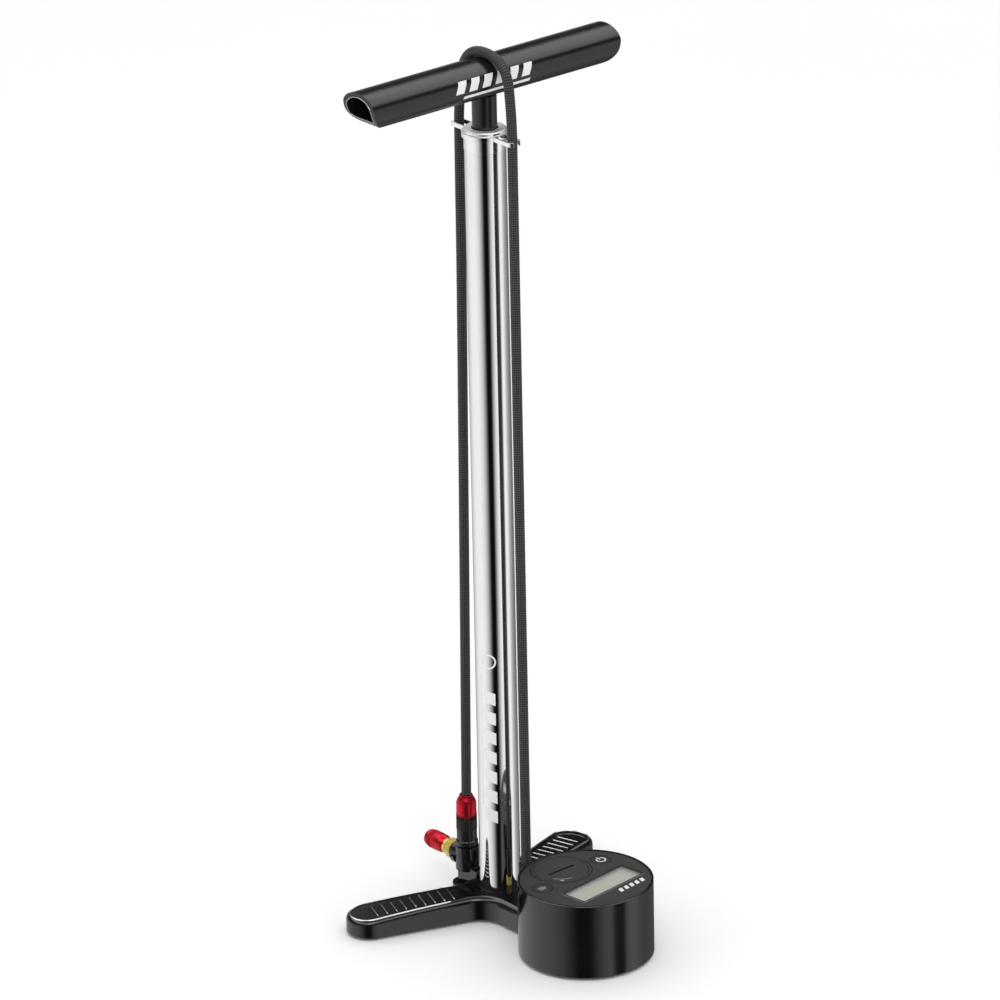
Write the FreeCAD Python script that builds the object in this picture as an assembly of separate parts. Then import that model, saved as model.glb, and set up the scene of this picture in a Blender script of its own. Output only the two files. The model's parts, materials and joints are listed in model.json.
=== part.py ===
import FreeCAD, Part
import math
import os

# Floor bike pump: three-armed base, steel barrel, long-stroke piston, aluminium cross handle,
# digital pressure gauge, and a braided hose that is stowed over the handle with its chuck docked.
# Frame: origin on the barrel's axis at floor level, +Z up the barrel, +X along the handle,
# -Y towards the gauge. Millimetres.

V = FreeCAD.Vector
UP = V(0, 0, 1)

# ---- driving dimensions: base ----
PAD_T = 2.0             # rubber pads stand this far below the casting
LEG_END = (91.5, 33.0)  # centre of a leg's round end
LEG_END_R = 16.0
LEG_ROOT = (0.0, -1.0)
LEG_ROOT_R = 13.0
BASE_TOP_MID = 19.0     # height of the casting at the barrel
BASE_TOP_END = 13.4     # height of the casting at the tips of the legs
BASE_SPAN = 110.0       # half width over which the top falls from mid to end height
BOSS_WALL = 6.7         # thickness of the boss round the barrel
ARM_HALF_W = 19.0
CREASE_R = 20.0         # rounding where the arms meet, seen from above
EDGE_R = 4.2            # rounding along the casting's top edge
TREAD_IN = 3.4          # the tread's recess starts this far inside the leg's edge
TREAD_DEPTH = 1.2
TREAD_START = 34.0      # distance from the barrel's axis to the tread's inner end
TREAD_BARS = 9
TREAD_BAR_W = 1.8
TREAD_BAR_H = 0.8
POCKET_WALL = 4.0
POCKET_ROOF = 6.0
LUG_T = 8.0             # height of the rear lug that carries the dock

# ---- driving dimensions: barrel and cap ----
BARREL_R = 14.3
BARREL_WALL = 1.3
SOCKET_FLOOR = 7.0
GASKET_T = 1.0
BARREL_TOP = 565.0
CAP_H = 14.5            # height of the cap above the barrel
CAP_PROUD = 0.3         # how far the cap stands out past the barrel
CAP_SPIGOT = 14.0
CAP_LIP_T = 2.0
CAP_WALL = 1.9
WIPER_T = 3.4
FIT = 0.05              # radial clearance of a sliding or turning fit, and of a seated part
GAP = 0.3               # free space between pieces that move past each other

# ---- driving dimensions: piston, rod and handle ----
ROD_R = 8.5
ROD_WALL = 2.0
PISTON_Z = 31.0
PISTON_H = 17.0
PISTON_PLAY = 0.4       # radial play of the piston head in the barrel
STUD_R = 6.0
BUMPER_H = 8.0
HANDLE_LIFT = 23.6      # height of the handle above the cap
HANDLE_HALF_W = 16.0
HANDLE_H = 25.4
HANDLE_CORNER_R = 12.0  # rounding of the section's two lower corners
HANDLE_ARCH_H = 9.7     # height of the half ellipse that forms the top of the section
HANDLE_WALL = 3.1
HANDLE_FLOOR = 6.1
HANDLE_BORE_CORNER_R = 4.0
HANDLE_BORE_ARCH_H = 8.4
HANDLE_HALF_L = 107.4
HANDLE_END_CUT = 12.9   # the ends draw in by this much at the underside
HANDLE_END_RISE = 20.0  # height over which they do so
HANDLE_BOLT_R = 4.0

# ---- driving dimensions: check valve ----
VALVE_BODY_H = 22.0
CHAMBER_R = 4.6
BALL_R = 4.0
VALVE_INLET_R = 2.5
PORT_Z = 13.0           # height of the air passage through the base
SPRING_WIRE_R = 0.35
SPRING_TURNS = 4

# ---- driving dimensions: gauge ----
GAUGE_Y = -92.45
GAUGE_R = 47.0
GAUGE_TOP = 55.9
GAUGE_WALL = 3.0
GAUGE_TURN = 8.0        # the dial is turned this many degrees from the pump's X axis
GAUGE_LIP = 1.6         # width of the rim round the dial
FACE_T = 2.0
FACE_SINK = 0.6
LCD_SIZE = (59.0, 18.6)
LCD_AT = (1.6, -14.9)
COVER_AT = (0.0, 22.3)
COVER_R = 19.0
TRAY_WALL = 1.8         # how far the battery's tray reaches past its cover
BUTTON_AT = (30.2, 12.5)
BUTTON_R = 5.6
BUTTON_TRAVEL = 0.8
BOARD_DROP = 8.3        # from the underside of the dial to the underside of the board
BOARD_T = 1.6
UNION_R = 5.0
UNION_Z = 11.0
GAUGE_SCREW_INSET = 6.4 # from the housing's edge to its screws

# ---- driving dimensions: hose, dock and chuck ----
HOSE_R = 3.5
OUTLET_Y = -28.8
OUTLET_HEX_H = 6.0
FERRULE_H = 20.0
DOCK_Y = 36.0           # the docked chuck stands on this axis
DOCK_CUP_R = 8.3
DOCK_EAR_X = 13.5       # the dock's two screws stand at this distance either side
DOCK_EAR_Y = 29.0
DOCK_EAR_T = 2.0
DOCK_SCREW_R = 1.5
DOCK_SCREW_HEAD_R = 2.6
DOCK_SCREW_HEAD_H = 2.4
DOCK_FLOOR_Z = 21.6
DOCK_BASE_T = 2.4
DOCK_TOP_Z = 36.8
DOCK_WEB_HALF_W = 4.0
CRADLE_WALL = 1.4
SPIGOT_R = 5.9
FLANGE_R = 7.75
FLANGE_T = 5.0
SLEEVE_R = 7.1
SLEEVE_H = 15.6
NUT_H = 18.2
STEM_R = 5.5
PORT_R = 6.6
PORT_AXIS_Z = 28.7
PORT_END_Y = 48.7
HEX_FLATS = 12.2
ADAPTOR_L = 9.0
HEAD_R = 6.5
HEAD_L = 20.5
VALVE_BORE_R = 4.0
VALVE_BORE_L = 10.0     # depth of the bore that takes the tyre's valve
GASKET_L = 2.0
CLIP_LIFT = 10.5        # height of the clip above the barrel
HOSE_BEFORE_CLIP = 28.8 # the hose passes the clip this far in front of the barrel's axis
HOSE_BEHIND_CLIP = 27.0
CLIP_T = 1.4
CLIP_H = 3.0
CLIP_MOUTH = 2.6        # half width of each hook's opening

# ---- values that follow from those above ----
BARREL_IN = BARREL_R - BARREL_WALL
BOSS_R = BARREL_R + BOSS_WALL
CAP_R = BARREL_R + CAP_PROUD
CAP_TOP = BARREL_TOP + CAP_H
CLIP_Z = BARREL_TOP + CLIP_LIFT
HANDLE_Z = CAP_TOP + HANDLE_LIFT
PISTON_R = BARREL_IN - PISTON_PLAY
BARREL_Z = SOCKET_FLOOR + GASKET_T
CAP_BORE_R = BARREL_IN - FIT - CAP_WALL
CAP_BOTTOM = BARREL_TOP - CAP_SPIGOT
FACE_R = GAUGE_R - GAUGE_LIP
GAUGE_SCREW_RADIUS = GAUGE_R - GAUGE_SCREW_INSET
FACE_TOP = GAUGE_TOP - FACE_SINK
FACE_Z = FACE_TOP - FACE_T
BOARD_Z = FACE_Z - BOARD_DROP
BOARD_TOP = BOARD_Z + BOARD_T
FLANGE_Z = DOCK_TOP_Z + GAP
SLEEVE_Z = FLANGE_Z + FLANGE_T
NUT_Z = SLEEVE_Z + SLEEVE_H
NUT_TOP = NUT_Z + NUT_H
STEM_TOP = NUT_Z + 6.2
OUTLET_TOP = BASE_TOP_MID + OUTLET_HEX_H
HEAD_Y = PORT_END_Y + ADAPTOR_L + GAP

# Route of the stowed hose in the plane x = 0: up from the outlet, over the handle, down to the chuck.
# The two long runs hang taut between the handle and the base; the two corners go round the handle.
HOSE_POINTS = [
    V(0, OUTLET_Y, OUTLET_TOP),
    V(0, OUTLET_Y, 592.0),
    V(0, -24.0, 632.4),
    V(0, 19.6, 632.4),
    V(0, 27.0, 590.0),
    V(0, 28.4, 430.0),
    V(0, DOCK_Y - 0.1, STEM_TOP + 0.5),
]
HANDLE_TURN_R = 22.0

PARTS = {}


# ---- small helpers ----
def cylinder(radius, low, high, x=0.0, y=0.0):
    return Part.makeCylinder(radius, high - low, V(x, y, low), UP)


def ring(outer, inner, low, high, x=0.0, y=0.0):
    return cylinder(outer, low, high, x, y).cut(cylinder(inner, low - 1, high + 1, x, y))


def along_y(radius, start, end, z, x=0.0):
    return Part.makeCylinder(radius, end - start, V(x, start, z), V(0, 1, 0))


def box(x0, x1, y0, y1, z0, z1):
    return Part.makeBox(x1 - x0, y1 - y0, z1 - z0, V(x0, y0, z0))


def torus(major, minor, z, x=0.0, y=0.0):
    return Part.makeTorus(major, minor, V(x, y, z), UP)


def hexagon(flats, low, high, x=0.0, y=0.0):
    radius = flats / math.sqrt(3)
    angles = [k * math.pi / 3 for k in range(7)]
    corners = [V(x + radius * math.cos(a), y + radius * math.sin(a), low) for a in angles]
    return Part.Face(Part.makePolygon(corners)).extrude(V(0, 0, high - low))


def revolved(profile, x=0.0, y=0.0):
    """A solid of revolution about the vertical axis through x, y from (radius, z) corners."""
    corners = [V(r, 0, z) for r, z in profile]
    face = Part.Face(Part.makePolygon(corners + corners[:1]))
    solid = face.revolve(V(0, 0, 0), UP, 360)
    solid.translate(V(x, y, 0))
    return solid


def tapered_slot(c0, r0, c1, r1):
    """A flat face: the hull of two circles."""
    dx, dy = c1[0] - c0[0], c1[1] - c0[1]
    along = math.atan2(dy, dx)
    spread = math.acos((r0 - r1) / math.hypot(dx, dy))

    def on(c, r, angle):
        return V(c[0] + r * math.cos(angle), c[1] + r * math.sin(angle), 0)

    left, right = along + spread, along - spread
    edges = [
        Part.LineSegment(on(c0, r0, right), on(c1, r1, right)).toShape(),
        Part.Arc(on(c1, r1, right), on(c1, r1, along), on(c1, r1, left)).toShape(),
        Part.LineSegment(on(c1, r1, left), on(c0, r0, left)).toShape(),
        Part.Arc(on(c0, r0, left), on(c0, r0, along + math.pi), on(c0, r0, right)).toShape(),
    ]
    return Part.Face(Part.Wire(edges))


def disc_face(x, y, radius):
    return Part.Face(Part.Wire(Part.makeCircle(radius, V(x, y, 0), UP)))


def joined(faces):
    return faces[0].fuse(faces[1:]).removeSplitter().Faces[0]


def rounded_creases(faces, radius):
    """The faces joined, with the inward corners between them rounded."""
    grown = joined(faces).makeOffset2D(radius)
    return grown.makeOffset2D(-radius)


def raised(face, low, high):
    solid = face.extrude(V(0, 0, high - low))
    solid.translate(V(0, 0, low))
    return solid


def turned_dial(x, y):
    """A point of the dial, given in the dial's own axes, in the pump's frame."""
    a = math.radians(GAUGE_TURN)
    return x * math.cos(a) - y * math.sin(a), GAUGE_Y + x * math.sin(a) + y * math.cos(a)


def dial_box(at, size, low, high, turn=GAUGE_TURN):
    x, y = turned_dial(*at)
    block = box(-size[0] / 2, size[0] / 2, -size[1] / 2, size[1] / 2, low, high)
    block.rotate(V(0, 0, 0), UP, turn)
    block.translate(V(x, y, 0))
    return block


def keep(node, shape):
    PARTS[node] = shape.removeSplitter() if len(shape.Solids) == 1 else shape


# ---- base ----
def leg_face(side, inset=0.0, start=None):
    """One leg seen from above, shrunk by inset; it may start further out than the barrel's axis."""
    end = (side * LEG_END[0], LEG_END[1])
    root = (side * LEG_ROOT[0], LEG_ROOT[1])
    root_r = LEG_ROOT_R
    if start is not None:
        share = start / math.hypot(end[0], end[1])
        root = (end[0] * share, LEG_ROOT[1] + (end[1] - LEG_ROOT[1]) * share)
        root_r = LEG_ROOT_R + (LEG_END_R - LEG_ROOT_R) * share
    return tapered_slot(root, root_r - inset, end, LEG_END_R - inset)


def under_top(drop=0.0):
    """Everything below the casting's gently crowned top, lowered by drop."""
    low, end, mid = PAD_T, BASE_TOP_END - drop, BASE_TOP_MID - drop
    y = -200.0
    edges = [
        Part.LineSegment(V(-BASE_SPAN, y, low), V(BASE_SPAN, y, low)).toShape(),
        Part.LineSegment(V(BASE_SPAN, y, low), V(BASE_SPAN, y, end)).toShape(),
        Part.Arc(V(BASE_SPAN, y, end), V(0, y, mid), V(-BASE_SPAN, y, end)).toShape(),
        Part.LineSegment(V(-BASE_SPAN, y, end), V(-BASE_SPAN, y, low)).toShape(),
    ]
    return Part.Face(Part.Wire(edges)).extrude(V(0, 400, 0))


def crowned_body():
    arm = tapered_slot((0, 0), ARM_HALF_W, (0, GAUGE_Y / 2), ARM_HALF_W + 0.01)
    outline = rounded_creases([leg_face(1), leg_face(-1), arm, disc_face(0, 0, BOSS_R)], CREASE_R)
    body = raised(outline, 0, 40).common(under_top())
    top = max((f for f in body.Faces if f.normalAt(0, 0).z > 0.5), key=lambda f: f.Area)
    return body.makeFillet(EDGE_R, top.Edges)


def tread(side):
    """The hollow that a tread sinks into a leg's top, less the bars that stand in it."""
    hollow = raised(leg_face(side, TREAD_IN, TREAD_START), 0, 40).cut(under_top(TREAD_DEPTH))
    length = math.hypot(*LEG_END) - TREAD_START
    angle = math.atan2(LEG_END[1] - LEG_ROOT[1], LEG_END[0])
    for k in range(TREAD_BARS):
        along = TREAD_START + length * (k + 0.5) / TREAD_BARS
        half = LEG_END_R - 2 * TREAD_IN
        bar = box(-TREAD_BAR_W / 2, TREAD_BAR_W / 2, -half, half, 0, 40)
        bar.rotate(V(0, 0, 0), UP, math.degrees(angle if side > 0 else math.pi - angle))
        x = side * along * math.cos(angle)
        bar.translate(V(x, LEG_ROOT[1] + along * math.sin(angle), 0))
        hollow = hollow.cut(bar.common(under_top(TREAD_DEPTH - TREAD_BAR_H)))
    return hollow


def leg_pocket(side):
    """The hollow under a leg, which keeps the casting's walls even."""
    face = leg_face(side, POCKET_WALL, TREAD_START)
    pocket = raised(face, 0, 40).common(under_top(POCKET_ROOF))
    return pocket.cut(cylinder(LEG_END_R - 2, 0, 40, side * LEG_END[0], LEG_END[1]))


def rear_lug():
    spine = tapered_slot((0, 0), 10.0, (0, DOCK_Y + 2), 9.5)
    ears = tapered_slot((-DOCK_EAR_X, DOCK_EAR_Y), 6.0, (DOCK_EAR_X, DOCK_EAR_Y), 6.01)
    return raised(rounded_creases([spine, ears, disc_face(0, 0, BOSS_R)], 5.0), PAD_T, LUG_T)


def base_casting():
    body = crowned_body().fuse(rear_lug())
    for side in (1, -1):
        body = body.cut(tread(side)).cut(leg_pocket(side))
        body = body.cut(cylinder(DOCK_SCREW_R + FIT, 0, 40, side * DOCK_EAR_X, DOCK_EAR_Y))
    body = body.cut(cylinder(BARREL_R + FIT, SOCKET_FLOOR, 40))
    body = body.cut(cylinder(GAUGE_R + FIT, 0, 60, 0, GAUGE_Y))
    body = body.cut(along_y(2.5, OUTLET_Y - 9, 0, PORT_Z))
    body = body.cut(along_y(UNION_R + FIT, GAUGE_Y, OUTLET_Y - 7.2, UNION_Z))
    body = body.cut(cylinder(4.0 + FIT, PORT_Z - 1, 40, 0, OUTLET_Y))
    keep("base_casting", body)


def pads():
    leg_pads = [cylinder(LEG_END_R - 3.5, 0, PAD_T, side * LEG_END[0], LEG_END[1]) for side in (1, -1)]
    keep("leg_pads", Part.makeCompound(leg_pads))
    keep("centre_pad", cylinder(BOSS_R - 6, 0, PAD_T))
    keep("gauge_pad", ring(GAUGE_R - 11, 20, 0, PAD_T, 0, GAUGE_Y))


# ---- barrel, check valve and cap ----
def barrel():
    tube = ring(BARREL_R, BARREL_IN, BARREL_Z, BARREL_TOP)
    keep("barrel", tube.cut(along_y(2.5, -20, 0, PORT_Z)))
    keep("barrel_gasket", ring(BARREL_R - 0.1, BARREL_IN - 3, SOCKET_FLOOR, BARREL_Z))


def check_valve():
    top = BARREL_Z + VALVE_BODY_H
    seat_z = top - 8.0
    groove_z = top - 3.6
    body = cylinder(BARREL_IN - FIT, BARREL_Z, top)
    body = body.cut(cylinder(CHAMBER_R, BARREL_Z + 2.5, seat_z))
    seat = Part.makeCone(CHAMBER_R, VALVE_INLET_R, CHAMBER_R - VALVE_INLET_R, V(0, 0, seat_z), UP)
    body = body.cut(seat).cut(cylinder(VALVE_INLET_R, seat_z, top + 1))
    body = body.cut(along_y(2.0, -20, 0, PORT_Z))
    body = body.cut(ring(BARREL_IN + 1, BARREL_IN - 2.2, groove_z - 1.2, groove_z + 1.2))
    keep("valve_body", body)
    keep("valve_body_o_ring", torus(BARREL_IN - 1.15, 1.05, groove_z))
    ball_z = seat_z + CHAMBER_R - (BALL_R + GAP) * math.sqrt(2)
    keep("valve_ball", Part.makeSphere(BALL_R, V(0, 0, ball_z)))
    low = BARREL_Z + 2.5 + SPRING_WIRE_R
    high = ball_z - BALL_R * 0.8 - SPRING_WIRE_R
    keep("valve_spring", coil_spring(BALL_R * 0.72, low, high))


def coil_spring(radius, low, high):
    helix = Part.makeHelix((high - low) / SPRING_TURNS, high - low, radius)
    helix.translate(V(0, 0, low))
    section = Part.Wire(Part.makeCircle(SPRING_WIRE_R, V(radius, 0, low), V(0, 1, 0)))
    return Part.Wire(helix).makePipeShell([section], True, True)


def top_cap():
    spigot = ring(BARREL_IN - FIT, CAP_BORE_R, CAP_BOTTOM, BARREL_TOP)
    head = cylinder(CAP_R, BARREL_TOP, CAP_TOP)
    rim = max(head.Faces, key=lambda f: f.CenterOfMass.z)
    head = head.makeChamfer(1.0, rim.Edges)
    head = head.cut(cylinder(CAP_BORE_R, BARREL_TOP - 1, CAP_TOP - CAP_LIP_T))
    head = head.cut(cylinder(ROD_R + 0.7, BARREL_TOP, CAP_TOP + 1))
    keep("top_cap", spigot.fuse(head))
    wiper_z = CAP_TOP - CAP_LIP_T - WIPER_T
    keep("rod_bushing", ring(CAP_BORE_R, ROD_R + FIT, CAP_BOTTOM + 0.5, wiper_z))
    keep("rod_wiper", ring(CAP_BORE_R, ROD_R + FIT, wiper_z, CAP_TOP - CAP_LIP_T))


# ---- piston, rod and handle ----
def piston():
    top = PISTON_Z + PISTON_H
    step = PISTON_Z + 7.0
    head = cylinder(PISTON_R, PISTON_Z, top)
    head = head.cut(cylinder(STUD_R + FIT, PISTON_Z, top + 1)).cut(cylinder(8.5, PISTON_Z - 1, step))
    head = head.cut(ring(PISTON_R + 1, 10.2, step - 2, step + 2))
    head = head.cut(ring(PISTON_R + 1, 11.3, step + 4.5, step + 7.5))
    keep("piston_head", head)
    keep("piston_seal", ring(BARREL_IN - FIT, 10.2, step - 2, step + 2))
    keep("piston_wear_ring", ring(BARREL_IN - 2 * FIT, 11.3, step + 4.5, step + 7.5))
    keep("piston_washer", ring(8.2, 3.05, step - GAP - 1.5, step - GAP))
    head_top = step - GAP - 1.5
    screw = cylinder(5.3, head_top - 4.0, head_top).fuse(cylinder(3.0, head_top, step + 18))
    keep("piston_screw", screw.cut(hexagon(4.0, step - GAP - 6, step - GAP - 3.5)))
    shoulder = top + GAP
    end = cylinder(STUD_R, step - GAP, shoulder)
    end = end.fuse(cylinder(ROD_R - 0.1, shoulder, shoulder + 2))
    end = end.fuse(cylinder(ROD_R - ROD_WALL - FIT, shoulder + 2, shoulder + 18))
    keep("rod_end", end.cut(cylinder(3.0 + FIT, step - 2, step + 19)))
    tube_z = shoulder + 2
    keep("piston_rod", ring(ROD_R, ROD_R - ROD_WALL, tube_z, HANDLE_Z))
    keep("rod_bumper", ring(PISTON_R - 0.6, ROD_R + FIT, tube_z, tube_z + BUMPER_H))


def d_wire(half_width, low, high, corner, arch, x):
    """A D lying on its flat side, in the plane at x: a half ellipse over a flat with round corners."""
    inner = half_width - corner
    spring_z = high - arch
    corner_top = low + corner
    diagonal = corner * math.sqrt(0.5)
    crown = Part.Ellipse(V(x, half_width, spring_z), V(x, 0, high), V(x, 0, spring_z))
    right = V(x, inner + diagonal, corner_top - diagonal)
    left = V(x, -inner - diagonal, corner_top - diagonal)
    edges = [
        Part.LineSegment(V(x, -inner, low), V(x, inner, low)).toShape(),
        Part.Arc(V(x, inner, low), right, V(x, half_width, corner_top)).toShape(),
        Part.LineSegment(V(x, half_width, corner_top), V(x, half_width, spring_z)).toShape(),
        Part.ArcOfEllipse(crown, 0, math.pi).toShape(),
        Part.LineSegment(V(x, -half_width, spring_z), V(x, -half_width, corner_top)).toShape(),
        Part.Arc(V(x, -half_width, corner_top), left, V(x, -inner, low)).toShape(),
    ]
    return Part.Wire(edges)


def handle_outline(y):
    """The handle seen from the front, in the plane at y: ends that draw in towards the underside."""
    top = HANDLE_Z + HANDLE_H + 1
    shoulder_z = HANDLE_Z + HANDLE_END_RISE
    low_half = HANDLE_HALF_L - HANDLE_END_CUT
    bulge_z = HANDLE_Z + 0.315 * HANDLE_END_RISE
    bulge_half = HANDLE_HALF_L - 0.32 * HANDLE_END_CUT
    edges = []
    for side in (1, -1):
        low, shoulder = V(side * low_half, y, HANDLE_Z), V(side * HANDLE_HALF_L, y, shoulder_z)
        edges.append(Part.Arc(low, V(side * bulge_half, y, bulge_z), shoulder).toShape())
        edges.append(Part.LineSegment(shoulder, V(side * HANDLE_HALF_L, y, top)).toShape())
    edges.append(Part.LineSegment(V(-low_half, y, HANDLE_Z), V(low_half, y, HANDLE_Z)).toShape())
    edges.append(Part.LineSegment(V(-HANDLE_HALF_L, y, top), V(HANDLE_HALF_L, y, top)).toShape())
    return Part.Wire(Part.sortEdges(edges)[0])


def handle():
    top = HANDLE_Z + HANDLE_H
    reach = HANDLE_HALF_L + 10
    section = d_wire(HANDLE_HALF_W, HANDLE_Z, top, HANDLE_CORNER_R, HANDLE_ARCH_H, -reach)
    bore_half_w, bore_z = HANDLE_HALF_W - HANDLE_WALL, HANDLE_Z + HANDLE_FLOOR
    bore_section = d_wire(
        bore_half_w, bore_z, top - HANDLE_WALL, HANDLE_BORE_CORNER_R, HANDLE_BORE_ARCH_H, -reach - 1
    )
    bar = Part.Face(section).extrude(V(2 * reach, 0, 0))
    bar = bar.cut(Part.Face(bore_section).extrude(V(2 * reach + 2, 0, 0)))
    y = -HANDLE_HALF_W - 1
    bar = bar.common(Part.Face(handle_outline(y)).extrude(V(0, -2 * y, 0)))
    keep("handle", bar.cut(cylinder(HANDLE_BOLT_R + 0.2, HANDLE_Z - 1, bore_z + 1)))


def handle_fixings():
    seat = HANDLE_Z + HANDLE_FLOOR
    plug = cylinder(ROD_R - ROD_WALL - FIT, HANDLE_Z - 24, HANDLE_Z)
    keep("rod_top_plug", plug.cut(cylinder(HANDLE_BOLT_R + FIT, HANDLE_Z - 20, HANDLE_Z + 1)))
    keep("handle_washer", ring(8.0, HANDLE_BOLT_R + 0.2, seat, seat + 1.5))
    bolt = cylinder(HANDLE_BOLT_R, HANDLE_Z - 18, seat + 1.5).fuse(cylinder(6.5, seat + 1.5, seat + 8.5))
    keep("handle_bolt", bolt.cut(hexagon(6.0, seat + 4.5, seat + 9)))


# ---- gauge ----
def gauge_housing():
    shell = cylinder(GAUGE_R, PAD_T, GAUGE_TOP, 0, GAUGE_Y)
    rim = max(shell.Faces, key=lambda f: f.CenterOfMass.z)
    shell = shell.makeChamfer(0.5, rim.Edges)
    shell = shell.cut(cylinder(GAUGE_R - GAUGE_WALL, 0, FACE_Z, 0, GAUGE_Y))
    shell = shell.cut(cylinder(FACE_R + 0.1, FACE_Z, GAUGE_TOP + 1, 0, GAUGE_Y))
    for x, y in gauge_screw_places():
        post = cylinder(4.0, PAD_T + 3, PAD_T + 16, x, y)
        shell = shell.fuse(post).cut(cylinder(1.5 + FIT, PAD_T, PAD_T + 13, x, y))
    keep("gauge_housing", shell.cut(along_y(UNION_R + 0.2, GAUGE_Y, 0, UNION_Z)))


def gauge_screw_places():
    angles = [math.radians(a) for a in (-90, 30, 150)]
    return [(GAUGE_SCREW_RADIUS * math.cos(a), GAUGE_Y + GAUGE_SCREW_RADIUS * math.sin(a)) for a in angles]


def gauge_floor():
    plate = cylinder(GAUGE_R - GAUGE_WALL - FIT, PAD_T, PAD_T + 3, 0, GAUGE_Y)
    screws = []
    for x, y in gauge_screw_places():
        plate = plate.cut(cylinder(1.7, 0, 10, x, y)).cut(cylinder(2.9, 0, PAD_T + 1.6, x, y))
        head = cylinder(2.8, PAD_T, PAD_T + 1.6, x, y).cut(hexagon(2.0, PAD_T - 1, PAD_T + 1, x, y))
        screws.append(head.fuse(cylinder(1.5, PAD_T + 1.6, PAD_T + 12, x, y)))
    keep("gauge_base_plate", plate)
    keep("gauge_screws", Part.makeCompound(screws))


def gauge_face():
    face = cylinder(FACE_R, FACE_Z, FACE_TOP, 0, GAUGE_Y)
    face = face.cut(dial_box(LCD_AT, LCD_SIZE, FACE_Z - 1, FACE_TOP + 1))
    face = face.cut(cylinder(COVER_R + GAP, FACE_Z - 1, FACE_TOP + 1, *turned_dial(*COVER_AT)))
    for side in (1, -1):
        at = turned_dial(side * BUTTON_AT[0], BUTTON_AT[1])
        face = face.cut(cylinder(BUTTON_R + GAP, FACE_Z - 1, FACE_TOP + 1, *at))
    keep("gauge_face", face)
    window = (LCD_SIZE[0] - 2 * FIT, LCD_SIZE[1] - 2 * FIT)
    keep("lcd_window", dial_box(LCD_AT, window, FACE_Z, FACE_TOP - 0.2))


def gauge_electronics():
    keep("lcd_panel", dial_box(LCD_AT, (LCD_SIZE[0] + 2, LCD_SIZE[1] + 2), BOARD_TOP, FACE_Z))
    keep("gauge_board", cylinder(GAUGE_R - GAUGE_WALL - 0.5, BOARD_Z, BOARD_TOP, 0, GAUGE_Y))
    spacer = ring(GAUGE_R - GAUGE_WALL - FIT, 41.0, BOARD_TOP, FACE_Z, 0, GAUGE_Y)
    tray_notch = cylinder(COVER_R + TRAY_WALL + FIT, 0, GAUGE_TOP, *turned_dial(*COVER_AT))
    keep("board_ring", spacer.cut(tray_notch))
    domes = []
    for side in (1, -1):
        at = turned_dial(side * BUTTON_AT[0], BUTTON_AT[1])
        dome_top = FACE_Z - 1.1 - 1.2 - BUTTON_TRAVEL - GAP
        domes.append(Part.makeCone(4.0, 2.5, dome_top - BOARD_TOP, V(at[0], at[1], BOARD_TOP), UP))
    keep("button_domes", Part.makeCompound(domes))
    sensor_y = GAUGE_Y + GAUGE_R - GAUGE_WALL - 14
    keep("pressure_sensor", along_y(5.8, sensor_y - 10, sensor_y, UNION_Z))
    union = along_y(UNION_R, sensor_y, OUTLET_Y - 7.2, UNION_Z)
    keep("gauge_union", union.cut(along_y(2.0, sensor_y - 1, 0, UNION_Z)))
    nut = hexagon(12.0, 0, 4.0).cut(cylinder(UNION_R + FIT, -1, 5))
    nut.rotate(V(0, 0, 0), V(1, 0, 0), -90)
    nut.translate(V(0, GAUGE_Y + GAUGE_R - GAUGE_WALL - 5.5, UNION_Z))
    keep("union_nut", nut)


def buttons():
    for side, name in ((1, "power_button"), (-1, "mode_button")):
        x, y = turned_dial(side * BUTTON_AT[0], BUTTON_AT[1])
        cap = cylinder(BUTTON_R, FACE_Z - 1.1, FACE_TOP - 0.1, x, y)
        keep(name, cap.fuse(cylinder(BUTTON_R + 1, FACE_Z - 2.3, FACE_Z - 1.1, x, y)))


def battery():
    x, y = turned_dial(*COVER_AT)
    seat_z = FACE_Z - 2.6
    tray = cylinder(COVER_R + TRAY_WALL, BOARD_TOP, FACE_Z, x, y)
    tray = tray.cut(cylinder(COVER_R - 1.4, seat_z, FACE_Z + 1, x, y))
    keep("battery_tray", tray.cut(cylinder(10.3, seat_z - 3.2, seat_z + 1, x, y)))
    keep("coin_cell", cylinder(10.0, seat_z - 3.2, seat_z, x, y))
    cover = cylinder(COVER_R, FACE_Z + GAP, FACE_TOP, x, y)
    cover = cover.fuse(cylinder(COVER_R - 1.8, seat_z + 0.6, FACE_Z + GAP, x, y))
    cover = cover.cut(ring(COVER_R, COVER_R - 3.2, seat_z + 0.9, seat_z + 2.6, x, y))
    slot = box(-11.6, 11.6, -0.9, 0.9, FACE_TOP - 1.2, FACE_TOP + 1)
    slot.rotate(V(0, 0, 0), UP, 2)
    slot.translate(V(x, y, 0))
    keep("battery_cover", cover.cut(slot))
    keep("cover_o_ring", torus(COVER_R - 2.4, 0.8, seat_z + 1.75, x, y))


# ---- hose, outlet, clip ----
def hose_path(points, corner_radii):
    """One wire of straight runs and tangent arcs through the inner points."""
    edges = []
    start = points[0]
    length = 0.0
    for before, corner, after, radius in zip(points, points[1:], points[2:], corner_radii):
        back = (before - corner).normalize()
        ahead = (after - corner).normalize()
        half_turn = (math.pi - back.getAngle(ahead)) / 2
        reach = radius * math.tan(half_turn)
        enter, leave = corner + back * reach, corner + ahead * reach
        bisector = (back + ahead).normalize()
        middle = corner + bisector * (radius / math.cos(half_turn) - radius)
        edges.append(Part.LineSegment(start, enter).toShape())
        edges.append(Part.Arc(enter, middle, leave).toShape())
        start = leave
    edges.append(Part.LineSegment(start, points[-1]).toShape())
    wire = Part.Wire(edges)
    return wire


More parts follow.
